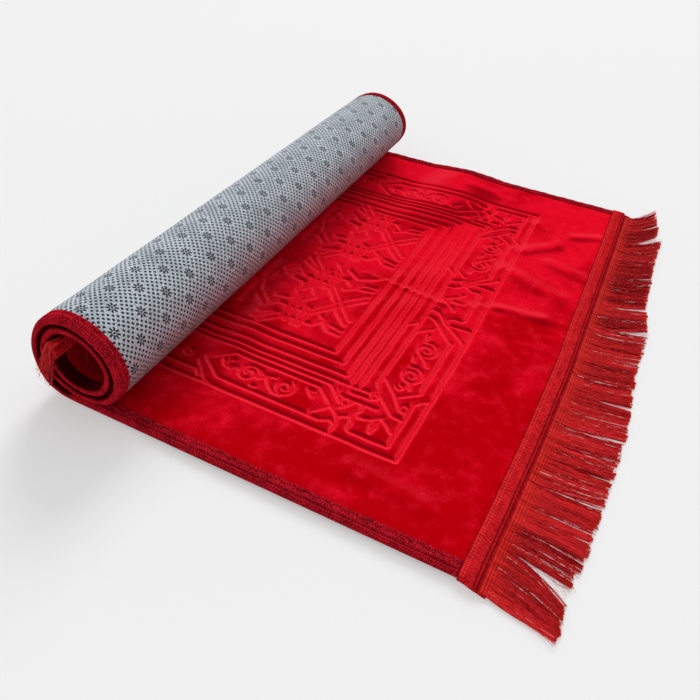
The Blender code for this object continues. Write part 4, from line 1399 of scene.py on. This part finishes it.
fringe_body = tubes("fringe_front_yarn", *joined(front_yarns(*row) for row in FRINGE_BODY),
                    "fringe_front")
fringe_loose = tubes("fringe_front_loose", *joined(front_yarns(*row) for row in FRINGE_LOOSE),
                     "fringe_front")

# %% [markdown]
# ## The inner fringe
# The yarns at the inner end bend over and hang down inside the roll. At the near end one lock has
# slipped out and falls over the roll's face.

# %% Inner fringe
INNER_COUNT, SPILLED_COUNT = 620, 130
INNER_NEAR_GAP, INNER_FAR_GAP, SPILL_ROOTS = 0.016, 0.002, 0.016
FAR_SHORTER, INNER_LEVEL = 0.25, 0.0048
INNER_SIZE, SPILL_SIZE = (0.00060, 0.00045), (0.00034, 0.00030)
SPILL_SPREAD, SPILL_CURL = (0.0020, 0.0008, 0.0022), 0.0012
INNER_FALL = (
    # share of the yarn's length, way to the right and up from its root, in millimetres
    (0.0, 0.0, 0.0), (0.10, 2.6, 0.6), (0.22, 4.3, -2.6), (0.45, 5.0, -15.0),
    (0.72, 4.6, -31.0), (1.0, 3.5, -45.0),
)
SPILL = (
    # share of its length, then x, y, z of its first and of its last yarn, in millimetres
    (0.00, -404.0, -347.5, 83.0, -399.0, -332.0, 86.0),
    (0.10, -407.0, -353.0, 84.0, -400.0, -352.0, 82.0),
    (0.30, -413.0, -355.0, 72.0, -405.0, -354.0, 68.0),
    (0.60, -424.0, -355.0, 52.0, -413.0, -354.5, 42.0),
    (0.82, -432.0, -355.5, 39.0, -419.0, -355.0, 24.0),
    (1.00, -438.0, -355.0, 32.0, -424.0, -354.5, 12.0),
)


def inner_yarns(count):
    """Yarns that hang inside the roll: the table's steps right and up, from each root."""
    roots = np.sort(random.uniform(NEAR_Y + INNER_NEAR_GAP, FAR_Y - INNER_FAR_GAP, count))
    s = inner_back + HEADER_WIDTH * 0.95
    start = lay(np.full(count, s), roots, np.full(count, INNER_LEVEL))
    rows = np.array(INNER_FALL)
    t = np.linspace(0.0, 1.0, YARN_STEPS)
    room = (1 - FAR_SHORTER * (roots - NEAR_Y) / (FAR_Y - NEAR_Y))[:, None]
    length = random.uniform(0.92, 1.0, (count, 1)) * room
    x = start[:, :1] + np.interp(t, rows[:, 0], rows[:, 1])[None] * MM
    z = start[:, 2:3] + np.interp(t, rows[:, 0], rows[:, 2])[None] * MM * length
    x = x + random.normal(0.0, 0.0009, (count, 1)) * t
    y = start[:, 1:2] + random.normal(0.0, 0.0022, (count, 1)) * t
    thick = (1.0 - 0.4 * t[None]) * random.uniform(0.8, 1.2, (count, 1))
    return np.stack([x, y, z], axis=-1), thick * INNER_SIZE[0], thick * INNER_SIZE[1], roots


def spilled_yarns(count):
    """Yarns of the spilled lock: between the table's first and last yarn, spread at the tips."""
    rows = np.array(SPILL)
    t = np.linspace(0.0, 1.0, YARN_STEPS)
    first = np.stack([np.interp(t, rows[:, 0], rows[:, k]) for k in (1, 2, 3)], axis=-1)
    last = np.stack([np.interp(t, rows[:, 0], rows[:, k]) for k in (4, 5, 6)], axis=-1)
    share = random.uniform(0.0, 1.0, (count, 1, 1))
    paths = (first[None] * (1 - share) + last[None] * share) * MM
    loose = random.normal(0.0, 1.0, (count, 1, 3)) * np.array(SPILL_SPREAD)
    curl = random.normal(0.0, SPILL_CURL, (count, YARN_STEPS, 3)) * np.array([1.0, 0.5, 1.0])
    paths = paths + (loose * t[None, :, None] + curl) * np.minimum(t * 3, 1.0)[None, :, None]
    length = random.uniform(0.55, 1.0, (count, 1, 1))
    paths = paths[:, :1] + (paths - paths[:, :1]) * length
    paths[..., 2] = np.maximum(paths[..., 2], 0.004)
    thick = (1.0 - 0.45 * t[None]) * random.uniform(0.7, 1.2, (count, 1))
    roots = NEAR_Y + share[:, 0, 0] * SPILL_ROOTS
    return paths + DRAWING, thick * SPILL_SIZE[0], thick * SPILL_SIZE[1], roots


inner_layers = [inner_yarns(INNER_COUNT), spilled_yarns(SPILLED_COUNT)]
inner_tones = np.concatenate([random.uniform(0.1, 0.55, INNER_COUNT),
                              random.uniform(0.3, 1.1, SPILLED_COUNT)])
fringe_inner = tubes("fringe_inner_yarn", *joined(inner_layers), inner_tones, "fringe_inner")

# %% [markdown]
# ## What is cloth
# The three sheets of cloth are listed by name.

# %% Sheets
print("sheets:", [piece.name for piece in (velvet_open, velvet_roll, felt)])

# %% [markdown]
# ## Floor and light
# The rug lies on a plain pale floor in soft light. The floor sweeps up into a far wall, so that no
# view shows an edge, and it glows a little, which keeps the shadow on it weak. One wide sun from
# behind and a little to the left rakes over the pressed lines, and a sky that is brightest on that
# side does the rest.

# %% Floor
FLOOR_HALF, SWEEP_START, WALL_HEIGHT = 24.0, 8.0, 8.0
FLOOR_POINTS, FLOOR_GAP = 49, 0.0004
FLOOR_SHADE, FLOOR_GLOW = 0.50, 0.350


def make_floor():
    """Grid of points whose height is a soft step of the distance from the middle."""
    places = np.linspace(-FLOOR_HALF, FLOOR_HALF, FLOOR_POINTS)
    x, y = np.meshgrid(places, places, indexing="ij")
    z = WALL_HEIGHT * smooth_step((np.hypot(x, y) - SWEEP_START) / (FLOOR_HALF - SWEEP_START))
    points = np.stack([x, y, z - FLOOR_GAP], axis=-1).reshape(-1, 3)
    mesh = make_mesh("floor", points, grid_quads(FLOOR_POINTS, FLOOR_POINTS)[:, ::-1])
    finish = Finish("floor_white", Roughness=0.9, Specular_IOR_Level=0.1,
                    Base_Color=(FLOOR_SHADE, FLOOR_SHADE, FLOOR_SHADE, 1.0),
                    Emission_Color=(1.0, 1.0, 1.0, 1.0), Emission_Strength=FLOOR_GLOW)
    mesh.materials.append(finish.material)
    floor = bpy.data.objects.new("floor", mesh)
    bpy.context.collection.objects.link(floor)
    return floor


floor = make_floor()
floor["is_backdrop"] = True
print("floor has", len(floor.data.polygons), "faces")

# %% Sun and sky
SUN_TOWARDS, SUN_ANGLE, SUN_STRENGTH = (-0.28, 0.80, 0.56), 26.0, 1.8
SKY_TOWARDS, SKY_LOW, SKY_HIGH = (-0.45, 0.50, 0.74), 0.36, 0.95

sun_data = bpy.data.lights.new("key_lamp", "SUN")
sun_data.angle = math.radians(SUN_ANGLE)
sun_data.energy = SUN_STRENGTH
sun = bpy.data.objects.new("key_lamp", sun_data)
sun.rotation_euler = Vector(SUN_TOWARDS).to_track_quat("Z", "Y").to_euler()
bpy.context.collection.objects.link(sun)

world = bpy.data.worlds.new("studio")
world.use_nodes = True
sky = Nodes(world.node_tree)
direction = sky.add("ShaderNodeTexCoord", output="Generated")
facing = sky.add("ShaderNodeVectorMath", {"operation": "DOT_PRODUCT"},
                 {0: direction, 1: Vector(SKY_TOWARDS).normalized()}, output="Value")
strength = sky.add("ShaderNodeMapRange", None,
                   {"Value": facing, "From Min": -0.2, "To Min": SKY_LOW, "To Max": SKY_HIGH})
background = world.node_tree.nodes["Background"]
sky.plug(background.inputs["Strength"], strength)
sky.plug(background.inputs["Color"], (1.0, 1.0, 1.0, 1.0))
bpy.context.scene.world = world
print("sun of", SUN_STRENGTH, "and a sky from", SKY_LOW, "to", SKY_HIGH)

# %% [markdown]
# ## Sizes
# The box of the packed solids and the box of the finished rug are put side by side and printed.

# %% Sizes
boxes = {"cad": [list(corner) for corner in cad_box],
         "visual": [list(corner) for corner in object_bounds()]}
for key, (low, high) in boxes.items():
    print(key, "box in mm:", [round((b - a) / MM, 1) for a, b in zip(low, high)])
